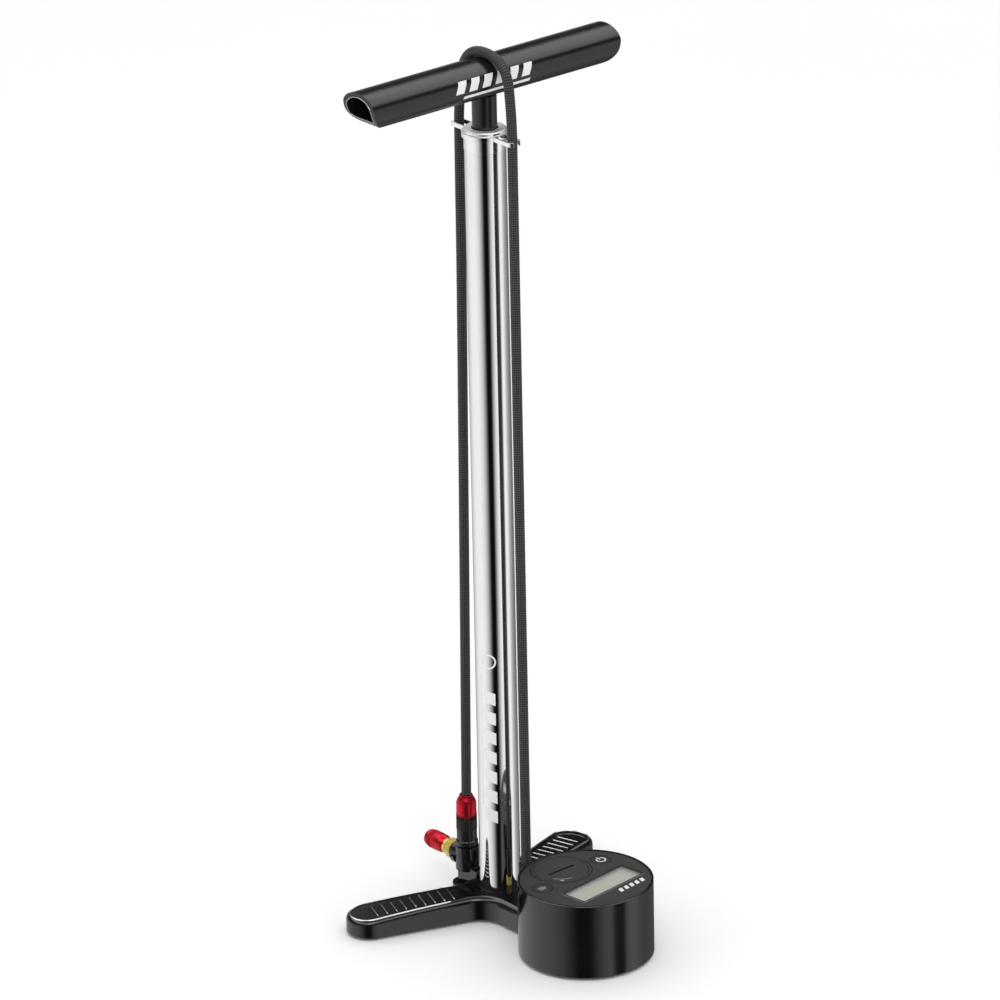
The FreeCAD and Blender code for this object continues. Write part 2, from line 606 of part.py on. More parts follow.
def corner_radius(before, corner, after):
    """The largest arc that the two runs leave room for."""
    back, ahead = before - corner, after - corner
    half_turn = (math.pi - back.getAngle(ahead)) / 2
    return 0.45 * min(back.Length, ahead.Length) / math.tan(half_turn)


def hose():
    bend_up = corner_radius(*HOSE_POINTS[0:3])
    bend_down = corner_radius(*HOSE_POINTS[3:6])
    lean = corner_radius(*HOSE_POINTS[4:7])
    radii = [bend_up, HANDLE_TURN_R, HANDLE_TURN_R, bend_down, lean]
    path = hose_path(HOSE_POINTS, radii)
    section = Part.Wire(Part.makeCircle(HOSE_R, HOSE_POINTS[0], HOSE_POINTS[1] - HOSE_POINTS[0]))
    tube = path.makePipeShell([section], True, False)
    keep("hose", tube)
    expected = math.pi * HOSE_R ** 2 * path.Length
    print("hose: length %.1f mm, radii %s" % (path.Length, [round(r, 1) for r in radii]))
    print("hose: volume %.0f mm3, section times length %.0f mm3" % (tube.Volume, expected))


def outlet():
    stud = cylinder(4.0, PORT_Z, BASE_TOP_MID, 0, OUTLET_Y)
    fitting = stud.fuse(hexagon(11.0, BASE_TOP_MID, OUTLET_TOP, 0, OUTLET_Y))
    keep("outlet_fitting", fitting.cut(cylinder(2.0, 0, OUTLET_TOP - 2, 0, OUTLET_Y)))
    keep("hose_ferrule", ring(HOSE_R + 1.7, HOSE_R + FIT, OUTLET_TOP, OUTLET_TOP + FERRULE_H, 0, OUTLET_Y))


def hose_hook(side, hose_y):
    """Two flat arms out of the cap's band whose ends bend in round the hose and leave a mouth."""
    low, high = CLIP_Z - CLIP_H / 2, CLIP_Z + CLIP_H / 2
    inner = HOSE_R + GAP + 0.2
    outer = inner + CLIP_T
    centre = side * hose_y
    root = side * (CAP_R - 2.0)
    near, far = min(root, centre), max(root, centre)
    hook = box(-outer, outer, near, far, low, high).fuse(cylinder(outer, low, high, 0, centre))
    hook = hook.cut(box(-inner, inner, near, far, low - 1, high + 1))
    hook = hook.cut(cylinder(inner, low - 1, high + 1, 0, centre))
    tip = centre + side * (outer + 1)
    return hook.cut(box(-CLIP_MOUTH, CLIP_MOUTH, min(centre, tip), max(centre, tip), low - 1, high + 1))


def hose_clip():
    """A band round the cap with an open hook for the hose at front and back."""
    clip = ring(CAP_R + FIT + CLIP_T, CAP_R + FIT, CLIP_Z - CLIP_H / 2, CLIP_Z + CLIP_H / 2)
    clip = clip.fuse([hose_hook(1, HOSE_BEHIND_CLIP), hose_hook(-1, HOSE_BEFORE_CLIP)])
    keep("hose_clip", clip.cut(cylinder(CAP_R + FIT, BARREL_TOP, CAP_TOP)))


# ---- dock and chuck ----
def dock_cradle():
    """A half round trough behind the cup that carries the chuck's port."""
    start, end = DOCK_Y + SPIGOT_R, PORT_END_Y - 2.5
    inner = PORT_R + GAP
    trough = along_y(inner + CRADLE_WALL, start, end, PORT_AXIS_Z)
    trough = trough.cut(along_y(inner, start - 1, end + 1, PORT_AXIS_Z))
    return trough.cut(box(-20, 20, start - 1, end + 1, PORT_AXIS_Z - 1, PORT_AXIS_Z + 20))


def dock():
    web = box(-DOCK_WEB_HALF_W, DOCK_WEB_HALF_W, BOSS_R + 0.5, DOCK_Y + 6, LUG_T, DOCK_FLOOR_Z)
    ears = tapered_slot((-DOCK_EAR_X, DOCK_EAR_Y), 5.0, (DOCK_EAR_X, DOCK_EAR_Y), 5.01)
    ears = raised(ears, LUG_T, LUG_T + DOCK_EAR_T)
    base = cylinder(DOCK_CUP_R, DOCK_FLOOR_Z - DOCK_BASE_T, DOCK_FLOOR_Z, 0, DOCK_Y)
    cup = ring(DOCK_CUP_R, SPIGOT_R + GAP, DOCK_FLOOR_Z, DOCK_TOP_Z, 0, DOCK_Y)
    way_out = box(-PORT_R - GAP, PORT_R + GAP, DOCK_Y, DOCK_Y + 20, DOCK_FLOOR_Z, DOCK_TOP_Z + 1)
    body = web.fuse([ears, base, cup.cut(way_out), dock_cradle()])
    screws = []
    for side in (1, -1):
        x = side * DOCK_EAR_X
        body = body.cut(cylinder(DOCK_SCREW_R + 0.2, LUG_T - 1, 20, x, DOCK_EAR_Y))
        head_z = LUG_T + DOCK_EAR_T
        head = cylinder(DOCK_SCREW_HEAD_R, head_z, head_z + DOCK_SCREW_HEAD_H, x, DOCK_EAR_Y)
        head = head.cut(hexagon(2.5, head_z + 1.0, head_z + 4, x, DOCK_EAR_Y))
        screws.append(head.fuse(cylinder(DOCK_SCREW_R, PAD_T + 1, head_z, x, DOCK_EAR_Y)))
    body = body.cut(cylinder(BOSS_R + 0.2, 0, 40))
    keep("chuck_dock", body)
    keep("dock_screws", Part.makeCompound(screws))


def chuck_body():
    stem = cylinder(STEM_R, SLEEVE_Z, STEM_TOP, 0, DOCK_Y)
    flange = cylinder(FLANGE_R, FLANGE_Z, SLEEVE_Z, 0, DOCK_Y)
    flange = flange.makeChamfer(1.0, flange.Edges[0:1] + flange.Edges[2:3])
    spigot = cylinder(SPIGOT_R, DOCK_FLOOR_Z + GAP, FLANGE_Z, 0, DOCK_Y)
    port = along_y(PORT_R, DOCK_Y, PORT_END_Y, PORT_AXIS_Z)
    body = stem.fuse([flange, spigot, port])
    body = body.cut(cylinder(1.8, PORT_AXIS_Z, STEM_TOP + 1, 0, DOCK_Y))
    keep("chuck_body", body.cut(along_y(2.5, DOCK_Y, PORT_END_Y + 1, PORT_AXIS_Z)))
    keep("chuck_sleeve", ring(SLEEVE_R, STEM_R + FIT, SLEEVE_Z, NUT_Z, 0, DOCK_Y))
    shoulder = NUT_TOP - 6.0
    outline = [
        (0, NUT_Z), (SLEEVE_R - 0.8, NUT_Z), (SLEEVE_R, NUT_Z + 3.0),
        (SLEEVE_R, shoulder), (SLEEVE_R - 0.8, shoulder + 2.4), (SLEEVE_R - 2.0, shoulder + 4.6),
        (HOSE_R + 1.0, NUT_TOP), (0, NUT_TOP),
    ]
    nut = revolved(outline, 0, DOCK_Y).cut(cylinder(STEM_R + FIT, NUT_Z - 1, STEM_TOP, 0, DOCK_Y))
    keep("chuck_nut", nut.cut(cylinder(HOSE_R + 0.6, NUT_Z, NUT_TOP + 1, 0, DOCK_Y)))


def lying(shape, start_y):
    """A shape built upright on the origin, laid down along +Y from start_y on the chuck's port axis."""
    shape.rotate(V(0, 0, 0), V(1, 0, 0), -90)
    shape.translate(V(0, start_y, PORT_AXIS_Z))
    return shape


def chuck_port():
    thread_r = VALVE_BORE_R - FIT
    hexed = hexagon(HEX_FLATS, 0, 6.5)
    adaptor = hexed.fuse([cylinder(5.6, 6.5, ADAPTOR_L), cylinder(thread_r, ADAPTOR_L, ADAPTOR_L + 7)])
    adaptor = adaptor.cut(cylinder(2.5, 2, ADAPTOR_L + 8)).cut(cylinder(1.2, -1, 3))
    keep("chuck_adaptor", lying(adaptor, PORT_END_Y))
    pin = cylinder(0.9, 1.0, ADAPTOR_L + 10)
    pin = pin.fuse(cylinder(2.45, 2.0, 3.0))
    keep("valve_pin", lying(pin, PORT_END_Y))
    grip = HEAD_L - 6.5
    outline = [
        (0, 0), (5.4, 0), (5.4, 1.2), (HEAD_R - 0.6, 1.8), (HEAD_R, 4.4), (HEAD_R, grip - 2.4),
        (HEAD_R - 0.6, grip), (5.4, grip + 0.4), (5.4, grip + 1.2), (HEAD_R - 0.4, grip + 1.7),
        (HEAD_R - 0.4, HEAD_L - 2.6), (HEAD_R - 1.0, HEAD_L - 0.9), (HEAD_R - 2.0, HEAD_L), (0, HEAD_L),
    ]
    head = revolved(outline)
    bore_z = HEAD_L - VALVE_BORE_L
    gasket_r = VALVE_BORE_R - 0.3
    head = head.cut(cylinder(VALVE_BORE_R, -1, 7.2)).cut(cylinder(VALVE_BORE_R, bore_z, HEAD_L + 1))
    head = head.cut(cylinder(gasket_r, bore_z - GASKET_L, bore_z)).cut(cylinder(2.6, 0, HEAD_L))
    keep("chuck_head", lying(head, HEAD_Y))
    keep("chuck_gasket", lying(ring(gasket_r - FIT, 1.6, bore_z - GASKET_L, bore_z), HEAD_Y))


def build():
    base_casting()
    pads()
    barrel()
    check_valve()
    top_cap()
    piston()
    handle()
    handle_fixings()
    gauge_housing()
    gauge_floor()
    gauge_face()
    gauge_electronics()
    buttons()
    battery()
    outlet()
    hose()
    hose_clip()
    dock()
    chuck_body()
    chuck_port()
    os.makedirs("parts", exist_ok=True)
    for node, shape in sorted(PARTS.items()):
        shape.exportStep("parts/%s.step" % node)
        report = (node, len(shape.Solids), shape.Volume, shape.isValid())
        print("%-18s %d solid(s) %10.1f mm3 valid=%s" % report)


build()
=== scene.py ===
# %% [markdown]
# # A floor bike pump, built round its CAD model
#
# This lesson makes a picture of a tall floor pump. The hard parts come ready made from CAD, and the frame
# loaded here holds them in metres, each already in its place. What is left for Blender is what CAD leaves
# out: the finish of every surface, the braided hose, knurling, bright rims, small marks, the light and
# the camera.

# %% Load the frame
import json
import math

import bmesh
import bpy
from mathutils import Matrix, Vector


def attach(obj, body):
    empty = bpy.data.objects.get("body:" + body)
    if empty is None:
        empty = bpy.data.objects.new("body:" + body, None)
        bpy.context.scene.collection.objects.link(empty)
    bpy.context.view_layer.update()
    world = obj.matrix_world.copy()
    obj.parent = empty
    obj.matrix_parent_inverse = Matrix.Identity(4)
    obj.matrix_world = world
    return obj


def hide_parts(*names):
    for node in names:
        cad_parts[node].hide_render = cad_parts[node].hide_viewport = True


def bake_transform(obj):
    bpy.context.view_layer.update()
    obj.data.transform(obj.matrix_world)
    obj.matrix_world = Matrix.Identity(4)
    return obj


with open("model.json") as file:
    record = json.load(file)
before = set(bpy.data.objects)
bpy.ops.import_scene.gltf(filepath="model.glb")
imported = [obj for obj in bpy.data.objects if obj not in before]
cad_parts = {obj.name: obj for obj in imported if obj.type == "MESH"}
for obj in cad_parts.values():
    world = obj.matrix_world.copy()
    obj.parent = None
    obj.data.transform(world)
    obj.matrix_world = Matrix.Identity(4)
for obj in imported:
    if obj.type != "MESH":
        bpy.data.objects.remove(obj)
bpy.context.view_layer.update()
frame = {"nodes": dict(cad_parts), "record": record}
nodes = frame["nodes"]
MM = 0.001

# %% [markdown]
# ## The camera
#
# A tall, thin object looks best through a long lens from far away, because its upright lines then stay
# nearly parallel. The camera stands five metres off, a little to the left of the gauge, and looks down by
# 22 degrees. A slight roll tips the whole pump to one side, as a hand-held camera would.

# %% Camera
LOOK_AT = Vector((0.00399, -0.00327, 0.3088))
CAMERA_TURN = math.radians(-39.3)
CAMERA_RISE = math.radians(22.29)
CAMERA_DISTANCE = 5.163
CAMERA_ROLL = math.radians(-1.17)
SENSOR_MM = 36.0
LENS_MM = 271.7

toward_camera = Vector((
    math.sin(CAMERA_TURN) * math.cos(CAMERA_RISE),
    -math.cos(CAMERA_TURN) * math.cos(CAMERA_RISE),
    math.sin(CAMERA_RISE),
))
camera_data = bpy.data.cameras.new("camera")
camera_data.lens = LENS_MM
camera_data.sensor_width = SENSOR_MM
camera_data.clip_end = 60.0
camera = bpy.data.objects.new("camera", camera_data)
bpy.context.scene.collection.objects.link(camera)
camera.location = LOOK_AT + toward_camera * CAMERA_DISTANCE
facing = toward_camera.to_track_quat("Z", "Y").to_matrix().to_4x4()
roll = Matrix.Rotation(CAMERA_ROLL, 4, "Z")
camera.matrix_world = Matrix.Translation(camera.location) @ facing @ roll
bpy.context.scene.camera = camera
bpy.context.scene.view_settings.view_transform = "Standard"
print("camera at", [round(x, 3) for x in camera.location])

# %% [markdown]
# ## Maths in a shader
#
# A shader is a graph of nodes, and long sums in it are hard to read. So one small class wraps an output
# socket and adds the node itself when Python's own operators meet it, and a second one adds any other
# node from its type, its settings and the values of its sockets.

# %% Shader helpers
class Flow:
    """One value on its way through a node tree. Arithmetic on it adds Math nodes."""

    def __init__(self, recipe, socket):
        self.recipe = recipe
        self.socket = socket

    def calculate(self, operation, *values):
        sockets = dict(enumerate(values))
        return self.recipe.add("ShaderNodeMath", {"operation": operation}, sockets)

    def __add__(self, other):
        return self.calculate("ADD", self, other)

    def __sub__(self, other):
        return self.calculate("SUBTRACT", self, other)

    def __rsub__(self, other):
        return self.calculate("SUBTRACT", other, self)

    def __mul__(self, other):
        return self.calculate("MULTIPLY", self, other)

    def __truediv__(self, other):
        return self.calculate("DIVIDE", self, other)

    def __gt__(self, other):
        return self.calculate("GREATER_THAN", self, other)

    __radd__ = __add__
    __rmul__ = __mul__


class Recipe:
    """A node tree that is filled one node at a time."""

    def __init__(self, tree):
        self.tree = tree
        tree.nodes.clear()

    def add(self, kind, settings=None, sockets=None, output=0):
        node = self.tree.nodes.new(kind)
        for name, value in (settings or {}).items():
            if name == "stops":
                self.fill_ramp(node.color_ramp, value)
            else:
                setattr(node, name, value)
        for name, value in (sockets or {}).items():
            if isinstance(value, Flow):
                self.tree.links.new(value.socket, node.inputs[name])
            else:
                node.inputs[name].default_value = value
        return Flow(self, node.outputs[output]) if len(node.outputs) else node

    def fill_ramp(self, ramp, stops):
        while len(ramp.elements) < len(stops):
            ramp.elements.new(1.0)
        for element, (place, colour) in zip(ramp.elements, stops):
            element.position = place
            element.color = colour if hasattr(colour, "__len__") else (colour, colour, colour, 1.0)

    def ramp(self, value, stops):
        return self.add("ShaderNodeValToRGB", {"stops": stops}, {0: value})

    def mix(self, share, first, second):
        settings = {"data_type": "RGBA"}
        return self.add("ShaderNodeMix", settings, {0: share, 6: first, 7: second}, output=2)

    def place(self, scale=(1, 1, 1)):
        where = self.add("ShaderNodeTexCoord", output="Object")
        return self.add("ShaderNodeMapping", None, {"Vector": where, "Scale": scale})

    def noise(self, where, scale, detail=3.0, roughness=0.55):
        sockets = {"Vector": where, "Scale": scale, "Detail": detail, "Roughness": roughness}
        return self.add("ShaderNodeTexNoise", None, sockets)

    def bump(self, height, strength, distance, normal=None):
        sockets = {"Height": height, "Strength": strength, "Distance": distance}
        if normal is not None:
            sockets["Normal"] = normal
        return self.add("ShaderNodeBump", None, sockets)


def finish_of(name, make, **constants):
    """A new material: make(recipe) returns what varies, and constants are set on the shader itself."""
    material = bpy.data.materials.new(name)
    material.use_nodes = True
    recipe = Recipe(material.node_tree)
    sockets = {key.replace("_", " "): value for key, value in constants.items()}
    sockets.update(make(recipe))
    shader = recipe.add("ShaderNodeBsdfPrincipled", None, sockets)
    recipe.add("ShaderNodeOutputMaterial", None, {"Surface": shader})
    return material


def rgb(red, green, blue):
    return (red, green, blue, 1.0)


print("shader helpers ready")

# %% [markdown]
# ## The studio
#
# Polished metal shows nothing of itself: it shows the room. A studio crew stands bright boxes and black
# cards round a chromed tube until its stripes look right. The world shader here does the same. Rays that
# bounce off a glossy surface see a ring of boxes and cards, given by how far round from the camera they
# stand, with one large soft box overhead. All other rays see plain soft light.
#
# Three short lists say it all. Each stop of the ring is an angle in degrees from the camera and a
# brightness. Each stop overhead is a height, from 0 straight down through 0.5 at eye level to 1 straight
# up, and a brightness: dark just above eye level, which keeps the blacks black, and bright higher up.
# The last list says how much of the ring is seen at each height: all of it up to eye level, and none
# of it high up.

# %% World and light
CARDS = [
    (-180, 0.32), (-131, 0.72), (-108, 0.92), (-70, 0.95), (-56, 0.84), (-43, 0.68), (-32, 0.42),
    (-21, 0.12), (-14, 0.012), (-9, 0.004), (3, 0.004), (7, 0.02), (13, 0.18), (19, 0.43),
    (30, 0.80), (42, 0.98), (46, 0.60), (51, 0.13), (60, 0.05), (67, 0.10), (72, 0.75),
    (78, 0.97), (86, 0.94), (95, 0.74), (106, 0.44), (126, 0.25), (150, 0.15), (180, 0.08),
]
OVERHEAD = [
    (0.0, 0.0), (0.52, 0.0), (0.60, 0.01), (0.76, 0.01),
    (0.82, 0.7), (0.92, 1.0), (0.95, 0.2), (1.0, 0.15),
]
OVERHEAD_POWER = 2.6
RING_SHARE = [(0.0, 1.0), (0.5, 1.0), (0.56, 0.30), (0.66, 0.03), (1.0, 0.0)]


def studio(recipe):
    direction = recipe.add("ShaderNodeTexCoord", output="Generated")
    parts = recipe.add("ShaderNodeSeparateXYZ", None, {0: direction}).socket.node.outputs
    x, y, z = (Flow(recipe, socket) for socket in parts)
    camera_side = math.atan2(toward_camera.y, toward_camera.x)
    round_angle = x.calculate("ARCTAN2", y, x)
    share = (round_angle - camera_side) / (2 * math.pi) + 0.5
    share = share.calculate("FRACT", share)
    ring = recipe.ramp(share, [(angle / 360 + 0.5, level) for angle, level in CARDS])
    rise = z * 0.5 + 0.5
    over = recipe.ramp(rise, OVERHEAD) * OVERHEAD_POWER
    seen_in_gloss = recipe.mix(recipe.ramp(rise, RING_SHARE), over, ring)
    is_gloss = recipe.add("ShaderNodeLightPath", output="Is Glossy Ray")
    seen = recipe.mix(is_gloss, rgb(1.0, 1.0, 1.0), seen_in_gloss)
    background = recipe.add("ShaderNodeBackground", None, {"Color": seen, "Strength": 1.0})
    recipe.add("ShaderNodeOutputWorld", None, {"Surface": background})


world = bpy.data.worlds.new("studio")
world.use_nodes = True
bpy.context.scene.world = world
studio(Recipe(world.node_tree))

LAMP_SIZE = 1.6
LAMP_POWER = 14.0
LAMP_AT = (-1.1, -1.6, 2.6)
LAMP_AIM = Vector((0, 0, 0.3))
lamp_data = bpy.data.lights.new("soft_box", "AREA")
lamp_data.energy = LAMP_POWER
lamp_data.size = LAMP_SIZE
lamp = bpy.data.objects.new("soft_box", lamp_data)
bpy.context.scene.collection.objects.link(lamp)
lamp.location = LAMP_AT
lamp.rotation_euler = (LAMP_AIM - lamp.location).to_track_quat("-Z", "Y").to_euler()
print("studio:", len(CARDS), "cards and boxes, one lamp")

# %% [markdown]
# The floor is one large pale sheet. It lies a hair below the pads, and glossy surfaces don't see it, so
# that the chrome keeps its cards.

# %% Floor
FLOOR_HALF = 14.0
FLOOR_DROP = 0.0004


def pale_floor(recipe):
    cloud = recipe.noise(recipe.place(), 3.0)
    return {"Base Color": recipe.mix(cloud, rgb(0.955, 0.955, 0.955), rgb(0.975, 0.975, 0.975))}


floor_mesh = bpy.data.meshes.new("studio_floor")
corners = [(x * FLOOR_HALF, y * FLOOR_HALF, -FLOOR_DROP) for x, y in ((-1, -1), (1, -1), (1, 1), (-1, 1))]
floor_mesh.from_pydata(corners, [], [(0, 1, 2, 3)])
floor = bpy.data.objects.new("studio_floor", floor_mesh)
bpy.context.scene.collection.objects.link(floor)
floor_mesh.materials.append(finish_of("pale_floor", pale_floor, Roughness=0.9))
floor.visible_glossy = False
print("floor", 2 * FLOOR_HALF, "m across")

# %% [markdown]
# ## The finishes
#
# Each finish is one material. Most black surfaces of this pump look alike at first, but the base is
# painted and glossy, the handle and rod are anodised with a soft sheen, the dial plate is matt and the
# pads are rubber. What tells them apart is how sharp their reflections are and how fine their grain is,
# so those two are what each recipe sets. A Bevel node rounds the sharp CAD edges for the light only,
# which gives every edge the thin bright line a real one has.

# %% Painted and moulded black
def soft_edges(recipe, radius):
    return recipe.add("ShaderNodeBevel", {"samples": 4}, {"Radius": radius})


def gloss_paint(recipe):
    skin = recipe.noise(recipe.place(), 900.0, detail=2.0)
    smudge = recipe.noise(recipe.place(), 45.0)
    colour = recipe.mix(smudge, rgb(0.003, 0.003, 0.003), rgb(0.0065, 0.0062, 0.006))
    normal = recipe.bump(skin, 0.10, 0.00006, soft_edges(recipe, 0.0006))
    return {"Base Color": colour, "Roughness": smudge * 0.10 + 0.10, "Normal": normal}


def rubber_skin(recipe):
    grain = recipe.noise(recipe.place(), 2400.0, detail=4.0)
    dust = recipe.noise(recipe.place(), 120.0)
    colour = recipe.mix(dust, rgb(0.012, 0.012, 0.012), rgb(0.030, 0.029, 0.028))
    return {"Base Color": colour, "Roughness": grain * 0.2 + 0.65, "Normal": recipe.bump(grain, 0.4, 0.0001)}


def moulded_black(recipe):
    grain = recipe.noise(recipe.place(), 1800.0, detail=3.0)
    patch = recipe.noise(recipe.place(), 60.0)
    colour = recipe.mix(patch, rgb(0.007, 0.007, 0.007), rgb(0.012, 0.0118, 0.0115))
    normal = recipe.bump(grain, 0.25, 0.00006, soft_edges(recipe, 0.0003))
    return {"Base Color": colour, "Roughness": grain * 0.15 + 0.42, "Normal": normal}


def dial_skin(recipe):
    grain = recipe.noise(recipe.place(), 3000.0, detail=2.0)
    patch = recipe.noise(recipe.place(), 40.0)
    colour = recipe.mix(patch, rgb(0.012, 0.0117, 0.0113), rgb(0.016, 0.0155, 0.015))
    normal = recipe.bump(grain, 0.2, 0.00004, soft_edges(recipe, 0.0003))
    return {"Base Color": colour, "Roughness": grain * 0.12 + 0.40, "Normal": normal}


finishes = {
    "gloss_black_paint": finish_of("gloss_black_paint", gloss_paint, Coat_Weight=0.25, Coat_Roughness=0.05),
    "rubber": finish_of("black_rubber", rubber_skin),
    "plastic": finish_of("moulded_black_plastic", moulded_black, Specular_IOR_Level=0.25),
    "dial_black": finish_of("matt_dial_plate", dial_skin),
}
print("black finishes:", len(finishes))

# %% [markdown]
# ## The metals
#
# Chrome is nearly a mirror, so its recipe only adds faint wiping marks that run along the tube. Anodised
# aluminium keeps the fine lines of its turning or its bead blasting under the colour. Brass and zinc are
# a little rougher and a little uneven.

# %% Metals
def mirror_chrome(recipe):
    wiped = recipe.noise(recipe.place(scale=(1, 1, 0.04)), 240.0, detail=4.0)
    cloud = recipe.noise(recipe.place(), 18.0)
    colour = recipe.mix(cloud, rgb(0.86, 0.86, 0.87), rgb(0.94, 0.94, 0.94))
    normal = recipe.bump(wiped, 0.02, 0.00003, soft_edges(recipe, 0.0004))
    return {"Base Color": colour, "Roughness": wiped * 0.05 + 0.03, "Normal": normal}


def capped_chrome(recipe):
    """Chrome whose level faces are brushed, so that they gather the light from above."""
    facing = recipe.add("ShaderNodeTexCoord", output="Normal")
    upward = Flow(recipe, recipe.add("ShaderNodeSeparateXYZ", None, {0: facing}).socket.node.outputs[2])
    wiped = recipe.noise(recipe.place(), 300.0, detail=4.0)
    colour = recipe.mix(wiped, rgb(0.90, 0.90, 0.90), rgb(0.98, 0.98, 0.98))
    normal = recipe.bump(wiped, 0.02, 0.00003, soft_edges(recipe, 0.0003))
    return {"Base Color": colour, "Roughness": (upward > 0.7) * 0.5 + wiped * 0.05 + 0.04, "Normal": normal}


def zinc(recipe):
    grain = recipe.noise(recipe.place(), 500.0)
    colour = recipe.mix(grain, rgb(0.50, 0.50, 0.49), rgb(0.66, 0.66, 0.64))
    normal = recipe.bump(grain, 0.1, 0.00005, soft_edges(recipe, 0.0002))
    return {"Base Color": colour, "Roughness": grain * 0.15 + 0.25, "Normal": normal}


def black_anodised(recipe):
    grain = recipe.noise(recipe.place(scale=(0.25, 1, 1)), 1600.0, detail=3.0)
    patch = recipe.noise(recipe.place(), 25.0)
    colour = recipe.mix(patch, rgb(0.0075, 0.0072, 0.0070), rgb(0.0125, 0.0120, 0.0115))
    normal = recipe.bump(grain, 0.18, 0.00005, soft_edges(recipe, 0.0005))
    return {"Base Color": colour, "Roughness": grain * 0.10 + 0.16, "Normal": normal}


def red_anodised(recipe):
    grain = recipe.noise(recipe.place(scale=(1, 1, 6)), 900.0, detail=3.0)
    patch = recipe.noise(recipe.place(), 90.0)
    colour = recipe.mix(patch, rgb(0.50, 0.008, 0.022), rgb(0.66, 0.016, 0.035))
    normal = recipe.bump(grain, 0.12, 0.00004, soft_edges(recipe, 0.0003))
    return {"Base Color": colour, "Roughness": grain * 0.12 + 0.26, "Normal": normal}


def turned_brass(recipe):
    grain = recipe.noise(recipe.place(scale=(1, 5, 1)), 900.0)
    colour = recipe.mix(grain, rgb(0.80, 0.60, 0.10), rgb(0.95, 0.78, 0.24))
    normal = recipe.bump(grain, 0.1, 0.00004, soft_edges(recipe, 0.0002))
    return {"Base Color": colour, "Roughness": grain * 0.15 + 0.20, "Normal": normal}


finishes["polished_steel"] = finish_of("mirror_chrome", mirror_chrome, Metallic=1.0)
finishes["zinc_steel"] = finish_of("zinc_plate", zinc, Metallic=1.0)
finishes["black_anodised"] = finish_of("black_anodised", black_anodised, Metallic=0.1)
finishes["red_anodised"] = finish_of("red_anodised", red_anodised, Metallic=0.85)
finishes["brass"] = finish_of("turned_brass", turned_brass, Metallic=0.55)
finishes["cap_chrome"] = finish_of("brushed_cap_chrome", capped_chrome, Metallic=1.0)
print("metals added:", len(finishes), "finishes")

# %% [markdown]
# ## The display
#
# A liquid crystal display that is switched off is a grey-green mirror behind clear plastic. The panel
# gets a faint cloud and the window is clear with a sharp gloss.

# %% Display and board
def lcd_grey(recipe):
    cloud = recipe.noise(recipe.place(), 70.0)
    colour = recipe.mix(cloud, rgb(0.46, 0.47, 0.40), rgb(0.54, 0.55, 0.47))
    return {"Base Color": colour, "Roughness": cloud * 0.1 + 0.4}


def clear_window(recipe):
    dust = recipe.noise(recipe.place(), 200.0)
    tint = rgb(0.75, 0.78, 0.72)
    return {"Base Color": tint, "Roughness": dust * 0.03 + 0.02, "Alpha": dust * 0.02 + 0.22}


def circuit_board(recipe):
    tracks = recipe.noise(recipe.place(scale=(1, 6, 1)), 400.0)
    colour = recipe.mix(tracks, rgb(0.01, 0.10, 0.03), rgb(0.04, 0.22, 0.09))
    return {"Base Color": colour, "Roughness": tracks * 0.2 + 0.3}


finishes["lcd_grey"] = finish_of("lcd_panel_grey", lcd_grey)
finishes["lcd_glass"] = finish_of("lcd_window_clear", clear_window)
finishes["circuit_board"] = finish_of("circuit_board", circuit_board)

for entry in frame["record"]["subparts"]:
    slot = entry["material_slot"]
    if slot in finishes:
        mesh = nodes[entry["node"]].data
        mesh.materials.clear()
        mesh.materials.append(finishes[slot])
for name in ("top_cap", "hose_clip"):
    nodes[name].data.materials.clear()
    nodes[name].data.materials.append(finishes["cap_chrome"])
print("finishes given to the CAD nodes")

# %% [markdown]
# ## The hose
#
# The hose is a rubber tube in a braided sleeve. It leaves the base in front of the barrel, runs straight
# up, passes over the handle and comes down behind it to the chuck, taut all the way. Its line is a smooth
# spline guided by a few chosen points. The sleeve is then a real mesh tube round that line, and its skin is
# raised where two sets of crossing threads run over each other, because a braid shows in its outline.

# %% Hose route
HOSE_R = 3.5 * MM
ROUTE = [
    (0, -28.8, 25), (0, -28.8, 560), (0, -28.8, 592), (0, -24, 632.4),
    (0, 19.6, 632.4), (0, 27, 590), (0, 27.3, 560), (0, 28.4, 430), (0, 35.9, 64.4),
]
route_curve = bpy.data.curves.new("hose_route", "CURVE")
route_curve.dimensions = "3D"
route_curve.resolution_u = 64
spline = route_curve.splines.new("NURBS")
spline.points.add(len(ROUTE) - 1)
for point, place in zip(spline.points, ROUTE):
    point.co = (*(value * MM for value in place), 1.0)
spline.order_u = 3
spline.use_endpoint_u = True
route_object = bpy.data.objects.new("hose_route", route_curve)
bpy.context.scene.collection.objects.link(route_object)
depsgraph = bpy.context.evaluated_depsgraph_get()
route_mesh = bpy.data.meshes.new_from_object(route_object.evaluated_get(depsgraph))
line = [vertex.co.copy() for vertex in route_mesh.vertices]
bpy.data.objects.remove(route_object)
bpy.data.meshes.remove(route_mesh)

# %% [markdown]
# The sleeve is built ring by ring along the line. Two sets of threads wind round it in opposite senses, and
# where both are high the skin is at its full radius. The same two waves, read from the sleeve's own map of
# turns and millimetres, colour the threads: painted shade darkens the gaps between them and a painted
# highlight lightens their crests.

# %% Braided hose
RING_STEP = 0.65 * MM
RING_SIDES = 48
CARRIERS = 8
BRAID_PITCH = 3.4 * MM
BRAID_RELIEF = 0.14 * MM


def evenly_along(points, step):
    """Points at even steps along a line of points."""
    total = sum((b - a).length for a, b in zip(points, points[1:]))
    count = int(total / step)
    found, travelled, index = [], 0.0, 0
    for k in range(count + 1):
        target = total * k / count
        while index < len(points) - 2 and travelled + (points[index + 1] - points[index]).length < target:
            travelled += (points[index + 1] - points[index]).length
            index += 1
        run = points[index + 1] - points[index]
        found.append(points[index] + run * min(1.0, (target - travelled) / run.length))
    return found, total / count


